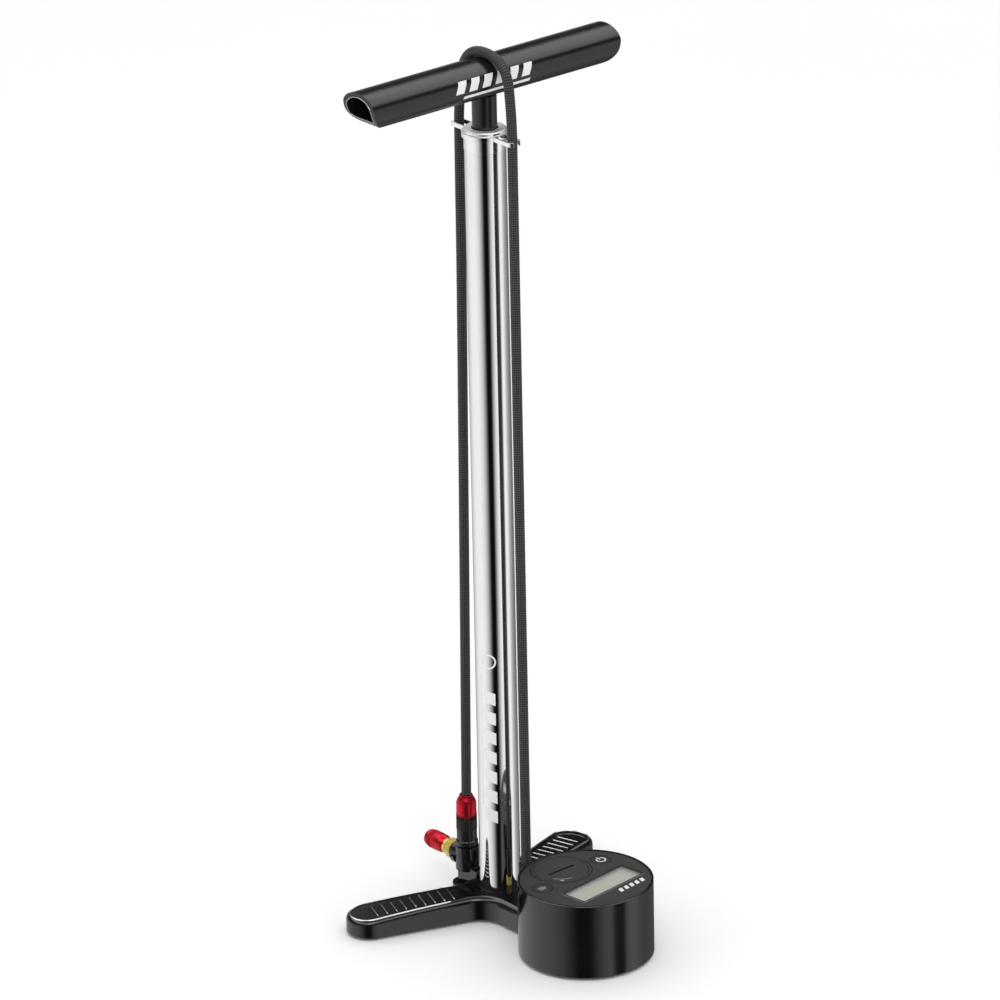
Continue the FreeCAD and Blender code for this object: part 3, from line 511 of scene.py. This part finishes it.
def braided_tube(name, points, step):
    """A closed tube round the points, with the relief of two crossing sets of threads."""
    across = Vector((1, 0, 0))
    verts, faces, places = [], [], []
    for k, point in enumerate(points):
        before, after = points[max(k - 1, 0)], points[min(k + 1, len(points) - 1)]
        outward = across.cross((after - before).normalized())
        along = 2 * math.pi * k * step / BRAID_PITCH
        for j in range(RING_SIDES):
            angle = 2 * math.pi * j / RING_SIDES
            left = math.sin(CARRIERS * angle + along)
            right = math.sin(CARRIERS * angle - along)
            radius = HOSE_R - BRAID_RELIEF * (0.5 - 0.5 * left * right)
            verts.append(point + (across * math.cos(angle) + outward * math.sin(angle)) * radius)
            places.append((j / RING_SIDES, k * step))
    for k in range(len(points) - 1):
        for j in range(RING_SIDES):
            a, b = k * RING_SIDES + j, k * RING_SIDES + (j + 1) % RING_SIDES
            faces.append((a, b, b + RING_SIDES, a + RING_SIDES))
    faces.append(tuple(reversed(range(RING_SIDES))))
    faces.append(tuple(range(len(verts) - RING_SIDES, len(verts))))
    mesh = bpy.data.meshes.new(name)
    mesh.from_pydata(verts, [], faces)
    layer = mesh.uv_layers.new(name="along")
    for polygon in mesh.polygons:
        wraps = polygon.loop_indices[0] // 4 % RING_SIDES == RING_SIDES - 1 and len(polygon.vertices) == 4
        for loop_index in polygon.loop_indices:
            u, v = places[mesh.loops[loop_index].vertex_index]
            layer.data[loop_index].uv = (u + 1.0 if wraps and u == 0.0 else u, v)
    mesh.shade_smooth()
    piece = bpy.data.objects.new(name, mesh)
    bpy.context.scene.collection.objects.link(piece)
    return piece


def braid(recipe):
    """Two sets of threads that cross, with a painted highlight where one lies on top and painted shade in
    the gaps between.
    """
    where = recipe.add("ShaderNodeTexCoord", output="UV")
    parts = recipe.add("ShaderNodeSeparateXYZ", None, {0: where}).socket.node.outputs
    around, along = Flow(recipe, parts[0]), Flow(recipe, parts[1])
    turns = around * (2 * math.pi * CARRIERS)
    steps = along * (2 * math.pi / BRAID_PITCH)
    left = turns.calculate("SINE", turns + steps)
    right = turns.calculate("SINE", turns - steps)
    lattice = left * right * 0.5 + 0.5
    fine = turns.calculate("SINE", (turns + steps) * 2.0) * turns.calculate("SINE", (turns - steps) * 2.0)
    fuzz = recipe.noise(recipe.place(), 1500.0, detail=4.0)
    light = lattice * 0.62 + (fine * 0.5 + 0.5) * 0.10 + fuzz * 0.28
    # painted shade in the gaps and a painted highlight on the crests: these colours carry the braid's light
    # and shade
    painted_gap_shade, side, painted_crest_highlight = rgb(0.004, 0.004, 0.004), rgb(0.012, 0.012, 0.012), rgb(0.105, 0.104, 0.102)
    colour = recipe.ramp(light, [(0.25, painted_gap_shade), (0.5, side), (0.78, painted_crest_highlight)])
    normal = recipe.bump(light, 0.5, 0.00016)
    return {"Base Color": colour, "Roughness": fuzz * 0.2 + 0.55, "Normal": normal}


line_points, line_step = evenly_along(line, RING_STEP)
hose = braided_tube("braided_hose", line_points, line_step)
hose.data.materials.append(finish_of("braided_sleeve", braid, Sheen_Weight=0.08, Sheen_Roughness=0.4))
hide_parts("hose")
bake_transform(hose)
[tuple(p) for p in line_points[::8]] + [tuple(line_points[-1])]
print("hose:", len(hose.data.polygons), "faces")

# %% [markdown]
# ## Printed marks
#
# Pale marks are printed on the handle, the barrel and the dial: plain slanted bars, which stand for any
# maker's print without being one. A mark is a thin skin that follows the surface under it. Each is given
# as four corners in a flat picture, and a wrapping function says where a flat point lies on the pump.

# %% Marks wrapped on surfaces
INK = 0.05 * MM
MARK_STEPS = 6


def between(corners, u, v):
    """The point at shares u and v of a four-cornered patch."""
    low = corners[0].lerp(corners[1], u)
    high = corners[3].lerp(corners[2], u)
    return low.lerp(high, v)


def printed(name, patches, wrap, material, body):
    """One mesh of thin closed skins, a patch each, laid on a surface by wrap(u, v, lift)."""
    mesh = bmesh.new()
    for patch in patches:
        corners = [Vector(corner) for corner in patch]
        layers = []
        for lift in (INK, -INK):
            rows = []
            for i in range(MARK_STEPS + 1):
                spots = [between(corners, i / MARK_STEPS, j / MARK_STEPS) for j in range(MARK_STEPS + 1)]
                rows.append([mesh.verts.new(wrap(spot.x, spot.y, lift)) for spot in spots])
            layers.append(rows)
        close_patch(mesh, *layers)
    bmesh.ops.recalc_face_normals(mesh, faces=mesh.faces)
    data = bpy.data.meshes.new(name)
    mesh.to_mesh(data)
    mesh.free()
    data.materials.append(material)
    piece = bpy.data.objects.new(name, data)
    bpy.context.scene.collection.objects.link(piece)
    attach(piece, body)
    print(name, len(data.polygons), "faces")
    return piece


def close_patch(mesh, top, bottom):
    """Faces over both layers of a patch and round its rim."""
    last = MARK_STEPS
    for rows in (top, bottom):
        for i in range(last):
            for j in range(last):
                mesh.faces.new((rows[i][j], rows[i + 1][j], rows[i + 1][j + 1], rows[i][j + 1]))
    rim = [(i, 0) for i in range(last)] + [(last, j) for j in range(last)]
    rim += [(i, last) for i in range(last, 0, -1)] + [(0, j) for j in range(last, 0, -1)]
    for (i, j), (k, m) in zip(rim, rim[1:] + rim[:1]):
        mesh.faces.new((top[i][j], top[k][m], bottom[k][m], bottom[i][j]))


def slanted_bars(start, end, low, high, count, fill, slant):
    """A row of slanted bars from start to end, each filling a share of its place."""
    step = (end - start) / count
    bars = []
    for k in range(count):
        left = start + k * step
        right = left + step * fill
        bars.append([(left, low), (right, low), (right + slant, high), (left + slant, high)])
    return bars


def arc_of_patches(radius, thickness, first, last, count, centre=(0.0, 0.0)):
    """A round line made of patches, from one angle in degrees to another."""
    angles = [math.radians(first + (last - first) * k / count) for k in range(count + 1)]
    rims = [radius - thickness / 2, radius + thickness / 2]
    spots = [[(centre[0] + r * math.cos(a), centre[1] + r * math.sin(a)) for a in angles] for r in rims]
    inner, outer = spots
    return [[inner[k], outer[k], outer[k + 1], inner[k + 1]] for k in range(count)]


def white_ink(recipe):
    worn = recipe.noise(recipe.place(), 700.0, detail=4.0)
    colour = recipe.mix(worn, rgb(0.70, 0.70, 0.69), rgb(0.84, 0.84, 0.83))
    return {"Base Color": colour, "Roughness": worn * 0.2 + 0.35}


def grey_ink(recipe):
    worn = recipe.noise(recipe.place(), 900.0, detail=4.0)
    colour = recipe.mix(worn, rgb(0.30, 0.30, 0.29), rgb(0.42, 0.42, 0.41))
    return {"Base Color": colour, "Roughness": worn * 0.2 + 0.4}


def black_ink(recipe):
    worn = recipe.noise(recipe.place(), 900.0, detail=4.0)
    colour = recipe.mix(worn, rgb(0.004, 0.004, 0.004), rgb(0.008, 0.008, 0.008))
    return {"Base Color": colour, "Roughness": worn * 0.1 + 0.2}


white_print = finish_of("white_print", white_ink)
grey_print = finish_of("grey_print", grey_ink)
black_print = finish_of("black_gloss_print", black_ink)
print("inks ready")

# %% [markdown]
# The handle's section is a D lying on its flat side: a flat underside, two round corners, short upright
# sides and half an ellipse over them. The wrapping function follows that outline up the front.

# %% Marks on handle and barrel
HANDLE_Z = 603.1
HANDLE_HALF_W = 16.0
HANDLE_CORNER_R = 12.0
HANDLE_SPRING = 15.7
HANDLE_ARCH_H = 9.7
BARREL_R = 14.3
BARREL_MARK_TURN = math.radians(209.0)
HANDLE_MARK = (-37.0, 31.0, 11.2, 19.6)
BARREL_MARK = (72.0, 176.0, -4.6, 4.6)
BARREL_RING_AT = (194.0, 0.0)
MARK_SLANT = 3.0
HANDLE_LINE = [(-30.0, 6.6), (27.0, 6.6), (27.8, 8.6), (-29.2, 8.6)]
BARREL_LINE = [(84.0, 6.0), (184.0, 6.0), (184.6, 7.2), (84.6, 7.2)]
BARREL_RING_R = 5.0
BARREL_RING_T = 1.2


def on_handle(u, height, lift):
    """A point on the handle's front, height above its underside, all in mm but the lift."""
    flat = HANDLE_HALF_W - HANDLE_CORNER_R
    if height < HANDLE_CORNER_R:
        drop = HANDLE_CORNER_R - height
        reach = math.sqrt(HANDLE_CORNER_R ** 2 - drop ** 2)
        spot = Vector((u, -flat - reach, height))
        outward = Vector((0, -reach, -drop)).normalized()
    elif height < HANDLE_SPRING:
        spot, outward = Vector((u, -HANDLE_HALF_W, height)), Vector((0, -1, 0))
    else:
        rise = (height - HANDLE_SPRING) / HANDLE_ARCH_H
        across = math.sqrt(1 - rise ** 2)
        spot = Vector((u, -HANDLE_HALF_W * across, height))
        outward = Vector((0, -across / HANDLE_HALF_W, rise / HANDLE_ARCH_H)).normalized()
    return (spot + Vector((0, 0, HANDLE_Z))) * MM + outward * lift


def on_barrel(height, arc, lift):
    angle = BARREL_MARK_TURN - arc / BARREL_R
    outward = Vector((math.cos(angle), math.sin(angle), 0))
    return outward * (BARREL_R * MM + lift) + Vector((0, 0, height * MM))


handle_bars = slanted_bars(*HANDLE_MARK, 6, 0.62, MARK_SLANT)
handle_bars.append(HANDLE_LINE)
printed("handle_print", handle_bars, on_handle, white_print, "handle_and_rod")
barrel_bars = slanted_bars(*BARREL_MARK, 7, 0.6, MARK_SLANT)
barrel_bars += arc_of_patches(BARREL_RING_R, BARREL_RING_T, 0, 360, 24, centre=BARREL_RING_AT)
barrel_bars.append(BARREL_LINE)
printed("barrel_print", barrel_bars, on_barrel, white_print, "base")

# %% [markdown]
# The dial lies flat but turned by eight degrees, so its marks are given in the dial's own two directions.
# The right button keeps the usual power sign and the left one has three short lines. Fine glossy rings
# stand round both buttons and the battery's cover, and a short arrow on the cover shows which way to turn.

# %% Marks on the dial
GAUGE_Y = -92.45
FACE_TOP = 55.3
DIAL_TURN = math.radians(8.0)
COVER_AT = (0.0, 22.3)
COVER_R = 19.0
BUTTON_AT = (30.2, 12.5)
BUTTON_DROP = 0.1
DIAL_MARK = (0.0, 27.0, -33.0, -28.6)
POWER_R = 3.2
POWER_T = 0.95
POWER_STROKE = [(-0.5, 0.6), (0.5, 0.6), (0.5, 4.3), (-0.5, 4.3)]
LINE_HALF = 3.0
LINE_GAP = 1.5
LINE_T = 0.3
COVER_RING_R = COVER_R + 2.4
COVER_RING_T = 0.7
BUTTON_RING_R = 7.2
BUTTON_RING_T = 0.6
ARROW_R = 15.0
ARROW_T = 0.5
ARROW_HEAD = [(-11.0, 10.4), (-13.4, 11.6), (-13.0, 9.6), (-12.0, 8.4)]


def on_dial(drop):
    """A wrapping function for a flat level of the dial, drop below its top."""

    def wrap(u, v, lift):
        x = u * math.cos(DIAL_TURN) - v * math.sin(DIAL_TURN)
        y = u * math.sin(DIAL_TURN) + v * math.cos(DIAL_TURN)
        return Vector((x, GAUGE_Y + y, FACE_TOP - drop)) * MM + Vector((0, 0, lift))

    return wrap


def button_mark(side, patches):
    return [[(side * BUTTON_AT[0] + u, BUTTON_AT[1] + v) for u, v in patch] for patch in patches]


on_button = on_dial(BUTTON_DROP)
power_mark = arc_of_patches(POWER_R, POWER_T, 125, 415, 20) + [POWER_STROKE]
printed("power_mark", button_mark(1, power_mark), on_button, white_print, "power_button")
mode_mark = []
for v in (-LINE_GAP, 0.0, LINE_GAP):
    end = LINE_HALF - 0.6 * abs(v)
    low, high = v - LINE_T, v + LINE_T
    mode_mark.append([(-LINE_HALF, low), (end, low), (end, high), (-LINE_HALF, high)])
printed("mode_mark", button_mark(-1, mode_mark), on_button, grey_print, "mode_button")
dial_bars = slanted_bars(*DIAL_MARK, 5, 0.6, 1.8)
printed("dial_print", dial_bars, on_dial(0.0), white_print, "base")
rings = arc_of_patches(COVER_RING_R, COVER_RING_T, 0, 360, 72, centre=COVER_AT)
for side in (1, -1):
    ring_at = (side * BUTTON_AT[0], BUTTON_AT[1])
    rings += arc_of_patches(BUTTON_RING_R, BUTTON_RING_T, 0, 360, 32, centre=ring_at)
printed("dial_rings", rings, on_dial(0.0), black_print, "base")
arrow = arc_of_patches(ARROW_R, ARROW_T, 200, 250, 10, centre=COVER_AT) + [ARROW_HEAD]
printed("cover_mark", arrow, on_dial(0.0), grey_print, "battery_cover")

# %% [markdown]
# ## The display's bezel
#
# The window sits in a raised frame with sloping sides, mitred at its four corners like a picture frame.
# Its profile is a short row of points, and the same row is set round the four corners one after another.

# %% Bezel
LCD_HALF = (29.5, 9.3)
LCD_AT = (1.6, -14.9)
BEZEL_PROFILE = [
    (-0.35, -0.35), (-0.35, 0.02), (0.0, 0.28), (0.9, 0.34),
    (1.6, 0.18), (1.8, -0.02), (1.8, -0.35),
]


def mitred_frame(name, half, centre, profile, material):
    mesh = bmesh.new()
    level = on_dial(0.0)
    corners = []
    for sign_u, sign_v in ((1, 1), (-1, 1), (-1, -1), (1, -1)):
        row = []
        for out, up in profile:
            u = centre[0] + sign_u * (half[0] + out)
            v = centre[1] + sign_v * (half[1] + out)
            row.append(mesh.verts.new(level(u, v, up * MM)))
        corners.append(row)
    for row, following in zip(corners, corners[1:] + corners[:1]):
        for k in range(len(profile)):
            m = (k + 1) % len(profile)
            mesh.faces.new((row[k], following[k], following[m], row[m]))
    bmesh.ops.recalc_face_normals(mesh, faces=mesh.faces)
    data = bpy.data.meshes.new(name)
    mesh.to_mesh(data)
    mesh.free()
    data.materials.append(material)
    piece = bpy.data.objects.new(name, data)
    bpy.context.scene.collection.objects.link(piece)
    return piece


bezel = mitred_frame("lcd_bezel", LCD_HALF, LCD_AT, BEZEL_PROFILE, finishes["gloss_black_paint"])
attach(bezel, "base")
print("bezel:", len(bezel.data.polygons), "faces")

# %% [markdown]
# ## Knurling, with Geometry Nodes
#
# The chuck is turned by hand, so its red head and its black sleeve carry fine ridges all round. One
# ridge repeated round a circle is a job for Geometry Nodes: a circle of points, a small ridge on each
# point turned to face outward, all made real at the end. How many ridges, how large a circle and how long
# a ridge are inputs of the tree, so that one tree serves every grip.

# %% Knurl tree
def knurl_tree():
    tree = bpy.data.node_groups.new("knurl", "GeometryNodeTree")
    face = tree.interface
    face.new_socket("Geometry", in_out="INPUT", socket_type="NodeSocketGeometry")
    face.new_socket("Ridges", in_out="INPUT", socket_type="NodeSocketInt")
    face.new_socket("Circle", in_out="INPUT", socket_type="NodeSocketFloat")
    face.new_socket("Length", in_out="INPUT", socket_type="NodeSocketFloat")
    face.new_socket("Thickness", in_out="INPUT", socket_type="NodeSocketFloat")
    face.new_socket("Finish", in_out="INPUT", socket_type="NodeSocketMaterial")
    face.new_socket("Geometry", in_out="OUTPUT", socket_type="NodeSocketGeometry")
    new, link = tree.nodes.new, tree.links.new
    given, result = new("NodeGroupInput"), new("NodeGroupOutput")
    circle = new("GeometryNodeMeshCircle")
    link(given.outputs["Ridges"], circle.inputs["Vertices"])
    link(given.outputs["Circle"], circle.inputs["Radius"])
    ridge = new("GeometryNodeMeshCone")
    ridge.inputs["Vertices"].default_value = 6
    ridge.inputs["Side Segments"].default_value = 2
    link(given.outputs["Length"], ridge.inputs["Depth"])
    link(given.outputs["Thickness"], ridge.inputs["Radius Bottom"])
    link(given.outputs["Thickness"], ridge.inputs["Radius Top"])
    outward = new("FunctionNodeAlignRotationToVector")
    place = new("GeometryNodeInputPosition")
    link(place.outputs["Position"], outward.inputs["Vector"])
    outward.axis = "X"
    outward.pivot_axis = "Z"
    spread = new("GeometryNodeInstanceOnPoints")
    link(circle.outputs["Mesh"], spread.inputs["Points"])
    link(ridge.outputs["Mesh"], spread.inputs["Instance"])
    link(outward.outputs["Rotation"], spread.inputs["Rotation"])
    real = new("GeometryNodeRealizeInstances")
    finish = new("GeometryNodeSetMaterial")
    link(spread.outputs["Instances"], real.inputs["Geometry"])
    link(real.outputs["Geometry"], finish.inputs["Geometry"])
    link(given.outputs["Finish"], finish.inputs["Material"])
    link(finish.outputs["Geometry"], result.inputs["Geometry"])
    return tree


def grip(name, tree, values, material, shape):
    """Run the tree on an empty mesh, keep what it makes as a mesh of its own and move it by shape."""
    host = bpy.data.objects.new(name + "_host", bpy.data.meshes.new(name + "_host"))
    bpy.context.scene.collection.objects.link(host)
    modifier = host.modifiers.new("knurl", "NODES")
    modifier.node_group = tree
    inputs = {item.name: item.identifier for item in tree.interface.items_tree if item.in_out == "INPUT"}
    for key, value in values.items():
        modifier[inputs[key]] = value
    modifier[inputs["Finish"]] = material
    graph = bpy.context.evaluated_depsgraph_get()
    data = bpy.data.meshes.new_from_object(host.evaluated_get(graph))
    data.name = name
    bpy.data.objects.remove(host)
    data.transform(shape)
    piece = bpy.data.objects.new(name, data)
    bpy.context.scene.collection.objects.link(piece)
    print(name, len(data.polygons), "faces")
    return piece


tree = knurl_tree()
print("tree with", len(tree.nodes), "nodes")

# %% [markdown]
# The tree runs twice: once for the red head, which lies along Y, and once for the black sleeve, which
# stands upright. What it makes is kept as a plain mesh and moved to its place.

# %% Grips of the chuck
DOCK_Y = 36.0
PORT_AXIS_Z = 28.7
HEAD_Y = 58.0
HEAD_R = 6.5
SLEEVE_R = 7.1
SLEEVE_MID_Z = 49.9
HEAD_GRIP_AT = 8.0
HEAD_GRIP_L = 7.4
SLEEVE_GRIP_L = 11.6
lay_down = Matrix.Rotation(math.radians(-90), 4, "X")
head_shift = Matrix.Translation(Vector((0, HEAD_Y + HEAD_GRIP_AT, PORT_AXIS_Z)) * MM)
head_values = {
    "Ridges": 36, "Circle": (HEAD_R - 0.15) * MM, "Length": HEAD_GRIP_L * MM, "Thickness": 0.32 * MM,
}
head_grip = grip("head_knurl", tree, head_values, finishes["red_anodised"], head_shift @ lay_down)
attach(head_grip, "chuck_head")
sleeve_values = {
    "Ridges": 44, "Circle": (SLEEVE_R - 0.1) * MM, "Length": SLEEVE_GRIP_L * MM, "Thickness": 0.30 * MM,
}
sleeve_shift = Matrix.Translation(Vector((0, DOCK_Y, SLEEVE_MID_Z)) * MM)
sleeve_grip = grip("sleeve_knurl", tree, sleeve_values, finishes["black_anodised"], sleeve_shift)
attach(sleeve_grip, "chuck")
print("chuck grips in place")

# %% [markdown]
# ## Tread rims with painted glints
#
# Each leg's tread is edged with a bead of polished steel, a painted glint that stands in for the bright
# light on the glossy black casting's rounded edge. Its line is the tread's outline, two straight sides and a
# round end, and its height is found by dropping a ray on the casting at every point. The bead itself is a
# thin closed tube swept along that line.

# %% Painted glints: steel beads round the treads
LEG_END = Vector((91.5, 33.0))
LEG_ROOT = Vector((0.0, -1.0))
RIM_END_R = 13.1
RIM_ROOT_R = 10.6
RIM_START = 40.0
RIM_START_SHARE = 0.4
SIDE_STEPS = 24
TIP_STEPS = 36
BEAD_R = 0.6
BEAD_SIDES = 10


def tread_outline(side):
    """The tread's outline in plan, in mm, from its inner end round the leg's tip and back."""
    along = (LEG_END - LEG_ROOT).normalized()
    across = Vector((-along.y, along.x))
    inner = LEG_ROOT + along * RIM_START
    root_r = RIM_ROOT_R + (RIM_END_R - RIM_ROOT_R) * RIM_START_SHARE
    shares = [k / SIDE_STEPS for k in range(SIDE_STEPS + 1)]
    spots = [
        inner.lerp(LEG_END, share) + across * (root_r + (RIM_END_R - root_r) * share)
        for share in shares
    ]
    for k in range(1, TIP_STEPS):
        turn = math.pi / 2 - math.pi * k / TIP_STEPS
        spots.append(LEG_END + (along * math.cos(turn) + across * math.sin(turn)) * RIM_END_R)
    spots += [
        LEG_END.lerp(inner, share) - across * (RIM_END_R + (root_r - RIM_END_R) * share)
        for share in shares
    ]
    return [Vector((side * spot.x, spot.y)) for spot in spots]


def dropped_on(node, spots):
    """Each flat spot lifted to the top of a CAD node's surface, in metres."""
    found = []
    into = node.matrix_world.inverted()
    for spot in spots:
        start = into @ Vector((spot.x * MM, spot.y * MM, 0.2))
        hit, place, _, _ = node.ray_cast(start, into.to_3x3() @ Vector((0, 0, -1)))
        if hit:
            found.append(node.matrix_world @ place)
    return found


def swept_bead(name, points, radius, material, upward=Vector((0, 0, 1))):
    """A thin tube with closed ends through the points."""
    mesh = bmesh.new()
    rings = []
    for k, point in enumerate(points):
        ahead = (points[min(k + 1, len(points) - 1)] - points[max(k - 1, 0)]).normalized()
        side = ahead.cross(upward).normalized()
        up = side.cross(ahead)
        turns = [2 * math.pi * j / BEAD_SIDES for j in range(BEAD_SIDES)]
        thin = radius * (0.4 if k in (0, len(points) - 1) else 1.0)
        rings.append([mesh.verts.new(point + (side * math.cos(a) + up * math.sin(a)) * thin) for a in turns])
    for ring, following in zip(rings, rings[1:]):
        for j in range(BEAD_SIDES):
            m = (j + 1) % BEAD_SIDES
            mesh.faces.new((ring[j], ring[m], following[m], following[j]))
    mesh.faces.new(rings[0])
    mesh.faces.new(rings[-1])
    bmesh.ops.recalc_face_normals(mesh, faces=mesh.faces)
    data = bpy.data.meshes.new(name)
    mesh.to_mesh(data)
    mesh.free()
    data.materials.append(material)
    data.shade_smooth()
    piece = bpy.data.objects.new(name, data)
    bpy.context.scene.collection.objects.link(piece)
    return piece


# each bead is a painted glint: bright steel where the real rim is the black casting's glossy edge
for side, name in ((1, "right_tread_glint"), (-1, "left_tread_glint")):
    rim_line = dropped_on(nodes["base_casting"], tread_outline(side))
    rim = swept_bead(name, rim_line, BEAD_R * MM, finishes["polished_steel"])
    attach(rim, "base")
    print(name, len(rim_line), "points")

# %% [markdown]
# Nine low bars cross each tread. A fine steel bead along each one's top gives it the same bright line, a
# painted glint where the casting's black bars catch the light.

# %% Painted glints on the tread's bars
BAR_COUNT = 9
BAR_START = 34.0
BAR_HALF = 8.6
BAR_STEPS = 6
BAR_BEAD_R = 0.34


def bar_lines(side):
    """A short line across the tread for each of its bars."""
    along = Vector((side * (LEG_END.x - LEG_ROOT.x), LEG_END.y - LEG_ROOT.y))
    length = LEG_END.length - BAR_START
    along.normalize()
    across = Vector((-along.y, along.x))
    lines = []
    for k in range(BAR_COUNT):
        middle = Vector((0, LEG_ROOT.y)) + along * (BAR_START + length * (k + 0.5) / BAR_COUNT)
        lines.append([middle + across * (BAR_HALF * (j / BAR_STEPS - 1)) for j in range(2 * BAR_STEPS + 1)])
    return lines


# each bar's bead is a painted glint, bright steel on the black casting
for side, name in ((1, "right_tread_bar_glint"), (-1, "left_tread_bar_glint")):
    for number, spots in enumerate(bar_lines(side), 1):
        bar_line = dropped_on(nodes["base_casting"], spots)
        bead = swept_bead(f"{name}_{number}", bar_line, BAR_BEAD_R * MM, finishes["polished_steel"])
        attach(bead, "base")
print("tread lines:", 2 * BAR_COUNT)

# %% [markdown]
# ## Rims of the handle's mouths
#
# The handle is a tube whose ends are cut back in a curve towards the underside. The cut leaves a bright
# edge round each mouth. Here it is a fine closed bead that follows the mouth's outline on the curved cut.

# %% Mouth rims
MOUTH_HALF_W = 12.9
MOUTH_LOW = 6.1
MOUTH_HIGH = 22.3
MOUTH_CORNER_R = 4.0
MOUTH_ARCH_H = 8.4
END_LOW = Vector((94.5, 0.0))
END_MID = Vector((103.27, 6.3))
END_HIGH = Vector((107.4, 20.0))
MOUTH_BEAD_R = 0.32
FLOOR_STEPS = 6
CORNER_STEPS = 8
ARCH_STEPS = 20


def circle_through(a, b, c):
    """Centre and radius of the circle through three flat points."""
    ab, ac = b - a, c - a
    double = 2 * (ab.x * ac.y - ab.y * ac.x)
    x = (ac.y * ab.length_squared - ab.y * ac.length_squared) / double
    y = (ab.x * ac.length_squared - ac.x * ab.length_squared) / double
    return a + Vector((x, y)), math.hypot(x, y)


def mouth_outline():
    """The bore's section as flat points: across the handle, and above its underside."""
    flat = MOUTH_HALF_W - MOUTH_CORNER_R
    spring = MOUTH_HIGH - MOUTH_ARCH_H
    corner_z = MOUTH_LOW + MOUTH_CORNER_R
    right = [Vector((flat * k / FLOOR_STEPS, MOUTH_LOW)) for k in range(FLOOR_STEPS + 1)]
    for k in range(1, CORNER_STEPS + 1):
        turn = -math.pi / 2 + math.pi / 2 * k / CORNER_STEPS
        spot = Vector((flat + MOUTH_CORNER_R * math.cos(turn), corner_z + MOUTH_CORNER_R * math.sin(turn)))
        right.append(spot)
    for k in range(ARCH_STEPS + 1):
        turn = math.pi / 2 * k / ARCH_STEPS
        right.append(Vector((MOUTH_HALF_W * math.cos(turn), spring + MOUTH_ARCH_H * math.sin(turn))))
    left = [Vector((-spot.x, spot.y)) for spot in reversed(right[:-1])]
    return right + left


end_centre, end_r = circle_through(END_LOW, END_MID, END_HIGH)
for side, name in ((1, "right_mouth_rim"), (-1, "left_mouth_rim")):
    rim_points = []
    for spot in mouth_outline():
        rise = min(spot.y, END_HIGH.y) - end_centre.y
        x = end_centre.x + math.sqrt(end_r ** 2 - rise ** 2)
        rim_points.append(Vector((side * x, spot.x, HANDLE_Z + spot.y)) * MM)
    mouth = swept_bead(name, rim_points, MOUTH_BEAD_R * MM, finishes["zinc_steel"], upward=Vector((1, 0, 0)))
    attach(mouth, "handle_and_rod")
    print(name, len(rim_points), "points")

# %% [markdown]
# ## Finish
#
# The last cell prints a closing line.

# %% Finish
print("scene built")
